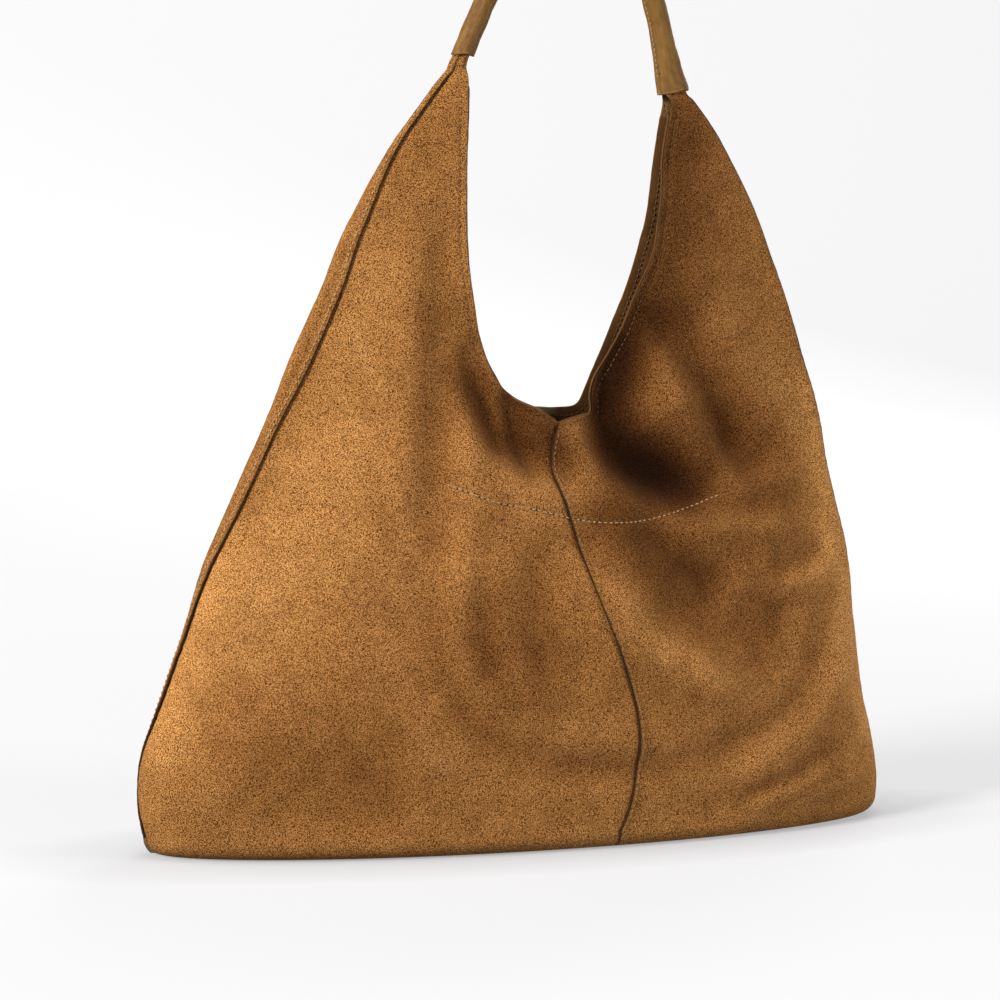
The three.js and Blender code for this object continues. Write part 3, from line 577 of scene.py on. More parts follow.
class Nodes:
    """A small helper that builds one procedural material."""

    def __init__(self, name):
        self.material = bpy.data.materials.new(name)
        self.material.use_nodes = True
        self.tree = self.material.node_tree
        self.shader = self.tree.nodes["Principled BSDF"]
        self.place = self.tree.nodes.new("ShaderNodeTexCoord").outputs["Object"]

    def node(self, kind, place=None, **numbers):
        """A new node with numbers on its inputs, and a place linked to its Vector."""
        node = self.tree.nodes.new(f"ShaderNode{kind}")
        for label, number in numbers.items():
            node.inputs[label.replace("_", " ")].default_value = number
        if place is not None:
            self.link(place, node.inputs["Vector"])
        return node

    def noise(self, scale, detail, rough, distortion=0.0):
        """Noise from 0 to 1, with its scale per metre."""
        node = self.node("TexNoise", self.place, Scale=scale, Detail=detail, Roughness=rough,
                         Distortion=distortion)
        return node.outputs["Fac"]

    def cell_edges(self, scale):
        node = self.node("TexVoronoi", self.place, Scale=scale)
        node.feature = "DISTANCE_TO_EDGE"
        return node.outputs["Distance"]

    def wave(self, scale, direction, distortion, place=None):
        node = self.node("TexWave", place or self.place, Scale=scale, Distortion=distortion)
        node.bands_direction = direction
        return node.outputs["Fac"]

    def turned(self, degrees):
        """Places turned about Y."""
        node = self.node("Mapping", self.place, Rotation=(0, math.radians(degrees), 0))
        return node.outputs["Vector"]

    def distance(self, place):
        node = self.node("VectorMath")
        node.operation = "LENGTH"
        self.link(place, node.inputs[0])
        return node.outputs["Value"]

    def stretched(self, *scale):
        node = self.node("VectorMath")
        node.operation = "MULTIPLY"
        node.inputs[1].default_value = scale
        self.link(self.place, node.inputs[0])
        return node.outputs[0]

    def attribute(self, name):
        node = self.node("Attribute")
        node.attribute_name = name
        return node.outputs["Fac"]

    def ramp(self, value, low, high, out_low=0.0, out_high=1.0):
        node = self.node("MapRange", From_Min=low, From_Max=high, To_Min=out_low, To_Max=out_high)
        self.link(value, node.inputs["Value"])
        return node.outputs["Result"]

    def put(self, value, socket):
        """Sets a socket to a number or a colour, or links an output to it."""
        if isinstance(value, tuple):
            socket.default_value = (*value, 1)
        elif isinstance(value, (int, float)):
            socket.default_value = value
        else:
            self.link(value, socket)

    def maths(self, operation, a, b):
        node = self.node("Math")
        node.operation = operation
        self.put(a, node.inputs[0])
        self.put(b, node.inputs[1])
        return node.outputs[0]

    def mix(self, share, a, b, blend="MIX"):
        node = self.node("Mix")
        node.data_type = "RGBA"
        node.blend_type = blend
        for label, value in (("Factor", share), ("A", a), ("B", b)):
            target = [s for s in node.inputs if s.name == label and s.type in ("VALUE", "RGBA")]
            self.put(value, target[0] if label == "Factor" else target[-1])
        return [s for s in node.outputs if s.type == "RGBA"][0]

    def bump(self, height, distance, strength=1.0, under=None):
        node = self.node("Bump", Distance=distance, Strength=strength)
        self.link(height, node.inputs["Height"])
        if under is not None:
            self.link(under, node.inputs["Normal"])
        return node.outputs["Normal"]

    def link(self, a, b):
        self.tree.links.new(a, b)

    def finish(self, colour=None, rough=None, normal=None, **constants):
        for label, value in (("Base Color", colour), ("Roughness", rough), ("Normal", normal)):
            if value is not None:
                self.put(value, self.shader.inputs[label])
        for label, value in constants.items():
            self.shader.inputs[label.replace("_", " ")].default_value = value
        return self.material


# The suede's grain: noise scales per metre and their shares, the range of it that shows, how far
# it darkens and lightens the colour, and for each channel the swing of that and the power of the painted light
# and shade
FINE_GRAIN, COARSE_GRAIN = (1850, 0.86), (700, 0.14)
GRAIN_RANGE = 0.425, 0.575
DUST_DARK, DUST_LIGHT = 0.78, 1.3
# Colour of the painted shadow in the gaps along the seams
SEAM_SHADOW_COLOUR = (0.02, 0.009, 0.004)
CHANNELS = ("Red", 0.92, 0.92), ("Green", 1.0, 1.06), ("Blue", 1.1, 1.2)


def suede_material(name, light, middle, dark, grain=1.0):
    """Napped suede: brushed patches, a fine speckled grain, painted highlights on fold crests, painted shade in
    fold hollows and seams, and broader painted light and shade along strokes.
    """
    n = Nodes(name)
    patches = n.ramp(n.noise(9, 3, 0.6, 0.6), 0.3, 0.7)
    brushed = n.ramp(n.noise(34, 4, 0.65, 1.1), 0.32, 0.7)
    colour = n.mix(n.maths("MULTIPLY", patches, 0.35), middle, light)
    colour = n.mix(n.maths("MULTIPLY", brushed, 0.14), colour, dark)
    painted_fold_shading = n.attribute("painted_fold_shading")
    # Painted highlight on fold crests and painted shade in fold hollows
    colour = n.mix(n.ramp(painted_fold_shading, 0.0, 1.0, 0, 0.3), colour, light)
    colour = n.mix(n.ramp(painted_fold_shading, 0.0, -1.0, 0, 0.45), colour, dark)
    grain_value = n.maths("ADD", n.maths("MULTIPLY", n.noise(FINE_GRAIN[0], 1, 0.5), FINE_GRAIN[1]),
                          n.maths("MULTIPLY", n.noise(COARSE_GRAIN[0], 2, 0.6), COARSE_GRAIN[1]))
    # Painted light and shade from the front's strokes, multiplied into the grain's tint
    painted_shading = n.attribute("painted_shading")
    tint = n.node("CombineColor")
    for label, swing, power in CHANNELS:
        dust = n.ramp(grain_value, *GRAIN_RANGE,
                      1 - DUST_DARK * swing * grain, 1 + DUST_LIGHT * swing * grain)
        n.link(n.maths("MULTIPLY", dust, n.maths("POWER", painted_shading, power)), tint.inputs[label])
    colour = n.mix(1.0, colour, tint.outputs[0], "MULTIPLY")
    # Painted shadow in the gaps along the seams, from the crease attribute
    colour = n.mix(n.attribute("crease"), colour, SEAM_SHADOW_COLOUR)
    pile = n.bump(grain_value, 0.0006, 0.6)
    pile = n.bump(n.noise(190, 4, 0.7), 0.0008, 0.4, pile)
    return n.finish(colour, 0.95, pile, Sheen_Weight=0.06, Sheen_Roughness=0.5,
                    Sheen_Tint=(0.9, 0.5, 0.2, 1), Specular_IOR_Level=0.05)


PALE_LEATHER = (0.62, 0.46, 0.22)


def uneven(n, scale, detail, rough):
    """Roughness that wanders a little around a value."""
    return n.ramp(n.noise(scale, detail, 0.6), 0.3, 0.7, rough - 0.06, rough + 0.14)


def leather_material(name, colour, dark, rough, pebble):
    """Smooth leather with a fine pebbled grain, soft mottling and a paler tone where its attribute is set."""
    n = Nodes(name)
    cell = n.cell_edges(pebble)
    crease = n.ramp(n.noise(60, 5, 0.7, 0.8), 0.35, 0.7)
    tone = n.mix(n.maths("MULTIPLY", crease, 0.6), colour, dark)
    tone = n.mix(n.ramp(cell, 0.0, 0.12, 0.35, 0.0), tone, dark)
    tone = n.mix(n.ramp(n.noise(420, 3, 0.6), 0.35, 0.75, 0, 0.3), tone, dark)
    shine = uneven(n, 120, 4, rough)
    grain = n.bump(n.ramp(cell, 0.0, 0.2), 0.00025, 0.5)
    grain = n.bump(n.noise(140, 4, 0.65), 0.0006, 0.35, grain)
    tone = n.mix(n.ramp(n.attribute("streak"), 0.0, 1.0, 0, 0.75), tone, dark)
    tone = n.mix(n.ramp(n.attribute("paler"), 0.0, 1.0, 0, 0.9), tone, PALE_LEATHER)
    return n.finish(tone, shine, grain, Specular_IOR_Level=0.2)


def cloth_material(name, colour, dark):
    """Woven cotton twill."""
    n = Nodes(name)
    rib = n.wave(620, "X", 1.2, n.turned(58))
    yarn = n.wave(900, "Z", 2.0)
    weave = n.maths("ADD", n.maths("MULTIPLY", rib, 0.7), n.maths("MULTIPLY", yarn, 0.3))
    tone = n.mix(n.ramp(weave, 0.1, 0.9, 0.65, 0.0), colour, dark)
    tone = n.mix(n.ramp(n.noise(40, 4, 0.6), 0.35, 0.7, 0, 0.25), tone, dark)
    return n.finish(tone, 0.9, n.bump(weave, 0.0003, 0.6), Sheen_Weight=0.1, Specular_IOR_Level=0.2)


def thread_material(name, colour, dark):
    """Twisted thread."""
    n = Nodes(name)
    ply = n.noise(2600, 2, 0.5, 2.0)
    tone = n.mix(n.ramp(ply, 0.35, 0.65), dark, colour)
    return n.finish(tone, 0.6, n.bump(ply, 0.0002, 0.5), Specular_IOR_Level=0.35)


def metal_material(name, colour, dark, rough):
    """Plated metal with a little wear."""
    n = Nodes(name)
    wear = n.ramp(n.noise(300, 5, 0.7), 0.35, 0.7)
    tone = n.mix(n.maths("MULTIPLY", wear, 0.6), colour, dark)
    shine = uneven(n, 700, 4, rough)
    return n.finish(tone, shine, n.bump(n.noise(900, 3, 0.6), 0.0001, 0.25), Metallic=1.0)


SUEDE_OUT = suede_material("suede_outside",
                           (0.27, 0.122, 0.037), (0.198, 0.083, 0.0215), (0.118, 0.044, 0.0098))
SUEDE_IN = suede_material("suede_inside",
                          (0.17, 0.095, 0.036), (0.12, 0.062, 0.022), (0.07, 0.034, 0.011), 0.7)
SUEDE_EDGE = suede_material("suede_cut_edge",
                            (0.20, 0.11, 0.045), (0.14, 0.072, 0.028), (0.07, 0.034, 0.012), 0.6)
HANDLE_LEATHER = leather_material("handle_leather", (0.26, 0.13, 0.024), (0.12, 0.052, 0.008), 0.5, 900.0)
FACING_LEATHER = leather_material("facing_leather", (0.15, 0.062, 0.013), (0.085, 0.034, 0.006), 0.7, 1300.0)
POCKET_CLOTH = cloth_material("pocket_cloth", (0.46, 0.36, 0.22), (0.27, 0.20, 0.11))
TAPE_CLOTH = cloth_material("zip_tape_cloth", (0.34, 0.25, 0.14), (0.18, 0.13, 0.07))
THREAD = thread_material("thread", (0.50, 0.34, 0.16), (0.27, 0.16, 0.06))
TAN_THREAD = thread_material("tan_thread", (0.30, 0.16, 0.055), (0.15, 0.07, 0.02))
DARK_THREAD = thread_material("dark_thread", (0.13, 0.066, 0.022), (0.07, 0.032, 0.01))
# Near black, as painted shade inside the needle holes
PAINTED_HOLE_SHADE = thread_material("needle_hole_shade", (0.03, 0.014, 0.006), (0.015, 0.007, 0.003))
BRASS = metal_material("antique_brass", (0.60, 0.42, 0.18), (0.28, 0.18, 0.07), 0.34)
NICKEL = metal_material("nickel", (0.62, 0.61, 0.58), (0.36, 0.35, 0.33), 0.28)
CORD = cloth_material("cotton_cord", (0.70, 0.66, 0.56), (0.48, 0.44, 0.35))


# ---------------- suede panels

POCKET_STITCH = track([
    (-67, 229), (-48, 219.5), (-33, 214.5), (-10, 209.5), (15, 203.5),
    (40, 200.5), (60, 201), (87, 206), (131, 218.5)])
POCKET_LEFT, POCKET_RIGHT = -62, 122
RIM_LINE = {key: smooth_line(points, 420) for key, points in RIM.items()}
NOTCH_Z = {key: line[-1, 1] for key, line in RIM_LINE.items()}

# A panel's rows: spacing up the neck, counts along the rim and down to the floor's round, then
# round it and in under the bag. Its columns: places near an edge, and the share between them.
NECK_STEP, RIM_ROWS, WALL_ROWS, ROUND_ROWS, BASE_ROWS = 1.6, 122, 95, 10, 9
NEAR_EDGE = np.array([0, 0.5, 1.2, 2, 2.8, 3.6, 4.4, 5.2, 6.2, 7.4, 9, 11])
PANEL_WIDTH, MIDDLE_COLUMNS = 230, 92
# How far panels lap over one another: at the centre seam right over left, at the sides back over front
CENTRE_OVER, CENTRE_UNDER, SIDE_OVER = -1.3, 2.0, 1.6
# The base's halves meet this far from the middle plane
BASE_GAP = 0.15


def row_ends(side, face):
    """Each row's height on the side seam, and its height and x on the rim or the centre seam."""
    rim = RIM_LINE[face, side]
    neck = np.arange(NECK_TOP[side], HORN_TOP[side], -NECK_STEP)
    t = np.linspace(0, 1, RIM_ROWS)
    end = resample(rim, len(t))
    wall = np.linspace(0, 1, WALL_ROWS)[1:]
    notch = NOTCH_Z[face, side]
    wall_inner = notch + (BASE_ROUND - notch) * wall
    wall_outer = SIDE_AT_NOTCH[side] + (BASE_ROUND - SIDE_AT_NOTCH[side]) * wall
    lap = (CENTRE_OVER if side == RIGHT else CENTRE_UNDER) * smoothstep(notch, notch - 8, wall_inner)
    wall_x = CENTRE_SEAM[face](wall_inner) + lap
    outer_z = np.concatenate([neck, HORN_TOP[side] + (SIDE_AT_NOTCH[side] - HORN_TOP[side]) * t, wall_outer])
    inner_z = np.concatenate([neck, end[:, 1], wall_inner])
    inner_x = np.concatenate([np.full(len(neck), rim[0, 0]), end[:, 0], wall_x])
    return outer_z, inner_z, inner_x


def column_places():
    """Places of the columns across a panel, close together near its edges."""
    middle = np.linspace(NEAR_EDGE[-1], PANEL_WIDTH - NEAR_EDGE[-1], MIDDLE_COLUMNS)[1:-1]
    return np.concatenate([NEAR_EDGE, middle, PANEL_WIDTH - NEAR_EDGE[::-1]]) / PANEL_WIDTH


def side_seam_at(side, face, z):
    """The f of a panel's outer edge: the back panels lap over the front ones."""
    lap = SIDE_OVER if face == BACK else 0
    away = (SEAM_ROUND[side](z) * (1 if face == FRONT else -1) - lap) / reach(z)
    return away if side == LEFT else 1 - away


def distance_to(line, x, z, limit):
    """Distance of points from a line in x and z; far points get the limit."""
    out = np.full(x.shape, float(limit))
    near = close_to(line, x, z, limit)
    point = np.stack([x[near], z[near]], 1)
    best = np.full(len(point), float(limit))
    for a, b in zip(line[:-1:4], line[4::4]):
        step = b - a
        t = np.clip(((point - a) @ step) / (step @ step), 0, 1)
        best = np.minimum(best, np.linalg.norm(point - a - t[:, None] * step, axis=1))
    out[near] = best
    return out


def panel_grid(side, face):
    """Outer face of a suede panel, its way out, and how far each point stands out as a fold."""
    outer_z, inner_z, inner_x = row_ends(side, face)
    t = column_places()
    z = outer_z[:, None] * (1 - t) + inner_z[:, None] * t
    f_start = side_seam_at(side, face, z)
    f_end = across_at(inner_x, np.minimum(inner_z, 480))
    start_there = side_seam_at(side, face, inner_z)
    share = (f_end - start_there) / (0.5 - start_there)
    f = f_start + t * share[:, None] * (0.5 - f_start)
    middle = base_point(z, f, face)
    height = folded(middle)
    grid = middle + base_normal(z, f, face) * height[..., None]
    grid = morph_to_neck(grid, f, face, side)

    turn = np.linspace(0, math.pi / 2, ROUND_ROWS)[1:]
    foot = base_point(np.full(f.shape[1], float(BASE_ROUND)), f[-1], face)
    foot_out = base_normal(np.full(f.shape[1], float(BASE_ROUND)), f[-1], face)
    foot_out = unit(foot_out * [1, 1, 0])
    rows, heights = [], []
    for angle in turn:
        point = foot - foot_out * BASE_ROUND * (1 - math.cos(angle))
        point[:, 1] = face * np.maximum(point[:, 1] * face, BASE_GAP)
        point[:, 2] = BASE_ROUND * (1 - math.sin(angle))
        drop = folded(point)
        rows.append(point + foot_out * (drop * math.cos(angle))[:, None])
        heights.append(drop)
    edge = rows[-1]
    for share_in in np.linspace(0, 1, BASE_ROWS)[1:]:
        rows.append(edge * [1, 1 - share_in, 1] + [0, face * BASE_GAP * share_in, 0])
        heights.append(heights[len(turn) - 1] * (1 - share_in))
    grid = np.concatenate([grid, np.stack(rows)])
    height = np.concatenate([height, np.stack(heights)])
    out = grid_normals(grid) * (-side * face)
    return grid, out, height


# Relief of the panels along their seams, in millimetres: how far the upper panel stands up and
# the lower one sinks, the depths of stitched grooves, of puckers and of the pocket's stitch line
SIDE_LAP, SIDE_SINK, CENTRE_LAP, CENTRE_SINK = 1.25, 0.95, 1.15, 0.9
SIDE_GROOVE, CENTRE_GROOVE, RIM_GROOVE, RIM_SWELL = 0.5, 0.3, 0.45, 0.3
BACK_PUCKER, FRONT_PUCKER, CENTRE_PUCKER = 0.14, 0.16, 0.28
POCKET_GROOVE, POCKET_SWELL = 1.0, 0.5
RIM_LIMIT = 24
# How far the painted shadow of a seam reaches onto the panel that lies under, and onto the one on top
UNDER_SIDE, UNDER_CENTRE, ON_TOP = 1.4, 3.6, 0.3
# How strongly the painted light and shade change the suede's colour
PAINTED_SHADING_GAIN = 1.1


# Painted shadow of a seam: full at its edge, fading out past how far it reaches
def painted_seam_shadow(distance, reached):
    return 1 - smoothstep(reached - 0.5, reached + 0.7, distance)


def finish_panel(side, face):
    """The panel's grid with its seam laps, stitched grooves and puckers, and the painted light and shade of its
    suede.
    """
    grid, out, height = panel_grid(side, face)
    x, z = grid[..., 0], grid[..., 2]
    steps = np.linalg.norm(np.diff(grid, axis=1), axis=2)
    from_outer = np.concatenate([np.zeros((len(grid), 1)), np.cumsum(steps, 1)], 1)
    from_inner = from_outer[:, -1:] - from_outer
    notch = NOTCH_Z[face, side]
    below_notch = smoothstep(notch + 1, notch - 9, z[:, -1:])
    up_the_side = lengths(grid[:, 0])[:, None]
    pucker = np.sin(up_the_side / 1.35 + 1.7 * np.sin(up_the_side / 9)) * 0.5 + 0.5
    above_floor = smoothstep(1, 14, z)
    neck = smoothstep(*NECK_FADE[side], z)

    lift = np.zeros(x.shape)
    if face == BACK:
        lift += SIDE_LAP * (1 - smoothstep(1.6, 9, from_outer)) * (0.15 + 0.85 * neck)
        lift -= SIDE_GROOVE * bell(from_outer, 5.4, 0.9) * neck
        lift -= BACK_PUCKER * pucker * np.exp(-((from_outer - 4) / 7) ** 2) * neck
    else:
        lift -= SIDE_SINK * (1 - smoothstep(0, 8, from_outer))
        lift -= FRONT_PUCKER * pucker * np.exp(-(from_outer / 9) ** 2) * neck
    if side == RIGHT:
        lift += CENTRE_LAP * (1 - smoothstep(1.2, 8, from_inner)) * below_notch
        lift -= CENTRE_GROOVE * bell(from_inner, 3.6, 0.8) * below_notch
    else:
        lift -= CENTRE_SINK * (1 - smoothstep(1, 8, from_inner)) * below_notch
    lift -= CENTRE_PUCKER * pucker * np.exp(-(from_inner / 8) ** 2) * below_notch

    to_rim = distance_to(RIM_LINE[face, side], x, z, RIM_LIMIT)
    to_rim = np.where(z > 150, to_rim, RIM_LIMIT)
    lift -= RIM_GROOVE * bell(to_rim, 4, 1.0) * neck
    lift += RIM_SWELL * np.exp(-(to_rim / 2.2) ** 2) * neck * (1 - below_notch)
    if face == FRONT:
        inside = smoothstep(POCKET_LEFT - 3, POCKET_LEFT, x) * smoothstep(POCKET_RIGHT + 3, POCKET_RIGHT, x)
        away = z - POCKET_STITCH(x)
        beat = 0.75 + 0.25 * np.sin(x / 2.3 + np.sin(x / 7))
        lift -= POCKET_GROOVE * inside * beat * bell(away, 0, 1.9)
        lift += POCKET_SWELL * inside * bell(away, -5, 3.0)
    lift *= above_floor
    grid = grid + out * lift[..., None]
    out = grid_normals(grid) * (-side * face)
    # Painted light and shade of the folds: lighter on their crests, darker in their hollows
    painted_fold_shading = (height - box_blur(height, 40)) / 1.6 + (lift - box_blur(lift, 10)) / 1.2
    # Painted shadow along the seams, where one panel laps over another
    crease = 0.9 * painted_seam_shadow(from_outer, UNDER_SIDE if face == FRONT else ON_TOP)
    seam = smoothstep(notch + 1, notch - 2, z[:, -1:])
    crease = np.maximum(crease, painted_seam_shadow(from_inner, UNDER_CENTRE if side == LEFT else ON_TOP) * seam)
    seam_seen = 1 - smoothstep(NECK_FROM[side] + 1, NECK_FROM[side] + 8, z)
    # Painted light and shade on the front panels from the strokes, with a little random tone
    painted_shading = sum_of_folds(x, z, _painted_shading if face == FRONT else [])
    painted_shading = np.exp(PAINTED_SHADING_GAIN * painted_shading + 0.05 * _middle(x, z))
    return grid, out, {"painted_fold_shading": np.clip(box_blur(painted_fold_shading, 2), -1, 1), "crease": crease * seam_seen, "painted_shading": painted_shading}


def on_sheet(values, inner_share=1.0):
    """Values of an outer grid, for all the points of its sheet_mesh."""
    loop = border(*values.shape)
    edge = np.tile(values[loop[:, 0], loop[:, 1]], 3)
    return np.concatenate([values.ravel(), values.ravel() * inner_share, edge])


PANELS = {}
for face, side in QUARTERS:
    grid, out, looks = finish_panel(side, face)
    PANELS[face, side] = (grid, out)
    vertices, faces, kinds = sheet_mesh(grid, grid - out * SUEDE)
    attributes = [(label, on_sheet(looks[label], inner_share))
                  for label, inner_share in (("painted_fold_shading", -0.4), ("crease", 0), ("painted_shading", 1))]
    name = f"{quarter_name(face, side)}_panel"
    obj = make_object(f"{name}_suede", vertices, outwards(vertices, faces), [SUEDE_OUT, SUEDE_IN, SUEDE_EDGE],
                      kinds, attributes)
    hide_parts(name)
    if side == LEFT:
        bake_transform(obj)
    else:
        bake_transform(obj)


# ---------------- stitches

# Stitches: pitch and length, how deep their ends go, the radius of each seam's thread, and how
# far the seams' lines lie from the panel's edge
PITCH, STITCH = 3.7, 2.6
STITCH_SINK = 0.25
CENTRE_RADIUS, SIDE_RADIUS, RIM_RADIUS, POCKET_RADIUS, HANDLE_THREAD_RADIUS = 0.34, 0.42, 0.3, 0.44, 0.34
CENTRE_IN, SIDE_IN, RIM_IN = 2.1, 2.6, 4.0
STITCH_RINGS, STITCH_SIDES = 7, 6


def stitch_run(points, out, pitch, length, radius, seed):
    """Separate stitches along a line: each rises from the leather and dives back into it."""
    random = np.random.default_rng(seed)
    along = lengths(points)
    arch = np.sin(np.linspace(0, math.pi, STITCH_RINGS))
    thick = radius * (0.72 + 0.28 * arch)
    turn = full_turn(STITCH_SIDES)
    parts = []
    for centre in np.arange(pitch * 0.5, along[-1] - pitch * 0.5, pitch):
        at = centre + np.linspace(-0.5, 0.5, STITCH_RINGS) * length * random.uniform(0.92, 1.05)
        where = at_length(at, along, points)
        up = unit(at_length(at, along, out))
        where += up * ((radius + STITCH_SINK) * arch - STITCH_SINK - 0.2)[:, None]
        forward = unit(np.gradient(where, axis=0))
        aside = unit(np.cross(forward, up))
        aside += up * random.uniform(-0.2, 0.2)
        aside = unit(aside)
        over = np.cross(aside, forward)
        rings = (where[:, None] + aside[:, None] * (thick[:, None] * np.cos(turn))[..., None]
                 + over[:, None] * (thick[:, None] * np.sin(turn))[..., None])
        parts.append(tube(rings))
    return join_parts(parts)


def needle_holes(points, out, pitch, radius):
    """Pressed dimples where the thread dives between two stitches, coloured near black as painted shade in the
    holes.
    """
    along = lengths(points)
    turn = full_turn(10)
    parts = []
    for at in np.arange(pitch, along[-1] - pitch * 0.5, pitch):
        centre = at_length(at, along, points)
        up = unit(at_length(at, along, out))
        forward = unit(at_length(at + 0.5, along, points) - centre)
        aside = np.cross(up, forward)
        circle = forward * np.cos(turn)[:, None] + aside * np.sin(turn)[:, None]
        parts.append(tube([centre + up * rise + radius * size * circle
                           for rise, size in ((-0.5, 0.7), (0.0, 1.0), (0.12, 0.8))]))
    return join_parts(parts)


def add(node, ending, mesh, materials, body, face_materials=None, attributes=()):
    """The visible piece of a node: a mesh turned to face out, with its body."""
    obj = make_object(f"{node}_{ending}", mesh[0], outwards(*mesh[:2]), materials, face_materials, attributes)
    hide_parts(node)
    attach(obj, body)
    return obj


def follow_edge(face, side, distance, outer, z_low, z_high):
    """Points and ways out along a panel, at a distance in from its outer or its inner edge."""
    grid, out = PANELS[face, side]
    points, ways = [], []
    for row, way in zip(grid, out):
        if not outer:
            row, way = row[::-1], way[::-1]
        along = lengths(row)
        if z_low < row[0, 2] < z_high and along[-1] > distance:
            points.append(at_length(distance, along, row))
            ways.append(at_length(distance, along, way))
    return np.array(points), unit(np.array(ways))


def rim_point(face, side, t, distance):
    """x and z at a share of the rim's length, moved into the panel by a distance."""
    line = RIM_LINE[face, side]
    at = t * (len(line) - 1)
    k = np.arange(len(line))
    along = unit(np.gradient(line, axis=0))
    base, way = at_length(at, k, line), at_length(at, k, along)
    square = smoothstep(0.93, 1.0, t)[..., None]
    away = np.stack([-side * way[..., 1], side * way[..., 0]], -1) * (1 - square) + np.array([0, -1.0]) * square
    return base + unit(away) * np.asarray(distance)[..., None]


for face in (FRONT, BACK):
    name = f"{FACE_NAME[face]}_centre_thread"
    points, ways = follow_edge(face, RIGHT, CENTRE_IN, False, 16, NOTCH_Z[face, RIGHT] - 4)
    mesh = stitch_run(points, ways, PITCH, STITCH, CENTRE_RADIUS, 3 + face)
    add(name, "stitches", mesh, [TAN_THREAD], "bag")
for side in (LEFT, RIGHT):
    name = f"{SIDE_NAME[side]}_side_thread"
    points, ways = follow_edge(BACK, side, SIDE_IN, True, 16, HORN_TOP[side] - 12)
    mesh = stitch_run(points, ways, PITCH, STITCH, SIDE_RADIUS, 7 + side)
    add(name, "stitches", mesh, [THREAD], "bag")
for face, side in QUARTERS:
    t = np.linspace(0.05, 0.985, 120)
    x, z = rim_point(face, side, t, np.full(t.shape, RIM_IN)).T
    points, ways = skin(x, z, face, 0.35, side)
    outside = stitch_run(points, ways, PITCH, STITCH, RIM_RADIUS, 21 + 2 * face + side)
    points, ways = skin(x, z, face, SUEDE + 1.1, side)
    within = stitch_run(points, -ways, PITCH, STITCH, SIDE_RADIUS, 31 + 2 * face + side)
    add(f"{quarter_name(face, side)}_rim_thread", "stitches", join_parts([outside, within]), [DARK_THREAD],
        "bag")

line_x = np.linspace(POCKET_LEFT, POCKET_RIGHT, 160)
points, ways = skin(line_x, POCKET_STITCH(line_x), FRONT, 0.55)
stitches = stitch_run(points, ways, PITCH, 2.4, POCKET_RADIUS, 41)
holes = needle_holes(points, ways, PITCH, 0.62)
hole_faces = np.repeat([0, 1], [len(stitches[1]), len(holes[1])])
add("pocket_thread", "stitches", join_parts([stitches, holes]), [THREAD, PAINTED_HOLE_SHADE], "bag", hole_faces)


# ---------------- facings, snap and pocket header

# The facings: how far in from the rim their columns lie, their gap to the suede, their thickness
# and its dip along the stitches, and the shares of the rim between which the back ones turn paler
FACING_ACROSS = [-0.8, -0.4, 0.3, 1.5, 2.8, 3.4, 4, 4.6, 5.2, 6.5, 8, 9.5, 10.5, 11]
FACING_GAP, FACING_THICK, FACING_DIP = 0.12, 0.95, 0.25
PALE_FROM = {LEFT: (0.84, 0.9), RIGHT: (0.92, 0.96)}
for face, side in QUARTERS:
    tt, dd = np.meshgrid(np.linspace(0.03, 1, 130), FACING_ACROSS, indexing="ij")
    xz = rim_point(face, side, tt, dd)
    near, way = skin(xz[..., 0], xz[..., 1], face, SUEDE + FACING_GAP, side)
    far = near - way * (FACING_THICK - FACING_DIP * bell(dd, RIM_IN, 0.8))[..., None]
    # The back facings turn paler towards the notch
    paler = smoothstep(*PALE_FROM[side], tt) * (face == BACK)
    add(f"{quarter_name(face, side)}_rim_facing", "leather", sheet_mesh(near, far), [FACING_LEATHER],
        "bag", attributes=[("paler", on_sheet(paler))])


def lathe(profile, origin, way):
    """Rings of a turned body through (radius, height) points, about a way out from an origin."""
    profile = np.asarray(profile, float)
    turn = full_turn(64)
    rings = np.stack([profile[:, None, 0] * np.cos(turn), profile[:, None, 0] * np.sin(turn),
                      np.broadcast_to(profile[:, None, 1], (len(profile), len(turn)))], -1)
    spin = np.array(Vector(way).to_track_quat("Z", "Y").to_matrix())
    return rings @ spin.T + origin


def ring_body(rings):
    """Closed ring whose profile loops back on itself."""
    count, columns = rings.shape[:2]
    vertices = rings.reshape(-1, 3)
    return vertices, grid_faces(count + 1, columns, wraps=True) % len(vertices)


# The snap: where it sits, its patches, and the profiles of its turned parts as radius and height
SNAP_X, SNAP_Z, PATCH_HALF = 16, 234, 14
PATCH_DEPTH, SNAP_DEPTH = 3.6, 4.8
WASHER = [(2.5, -2.15), (8.3, -2.15), (8.5, -1.95), (8.5, -1.55), (8.3, -1.35), (2.5, -1.35)]
SNAP_HALF = {
    FRONT: ("snap_stud", [
        (7.9, 0.0), (8.35, 0.25), (8.5, 0.7), (8.5, 1.5), (8.3, 1.9), (7.8, 2.1), (6.9, 2.05), (6.5, 1.8),
        (6.0, 1.8), (5.6, 2.1), (3.6, 2.15), (3.1, 2.35), (3.0, 2.8), (3.0, 3.7), (2.8, 4.05), (2.3, 4.2)]),
    BACK: ("snap_socket", [
        (7.9, 0.0), (8.35, 0.25), (8.5, 0.8), (8.5, 3.4), (8.3, 3.85), (7.8, 4.05), (6.7, 4.0), (6.3, 3.75),
        (5.8, 3.75), (5.4, 4.05), (4.2, 4.05), (3.75, 3.85), (3.6, 3.4), (3.6, 1.7), (3.3, 1.5)]),
}

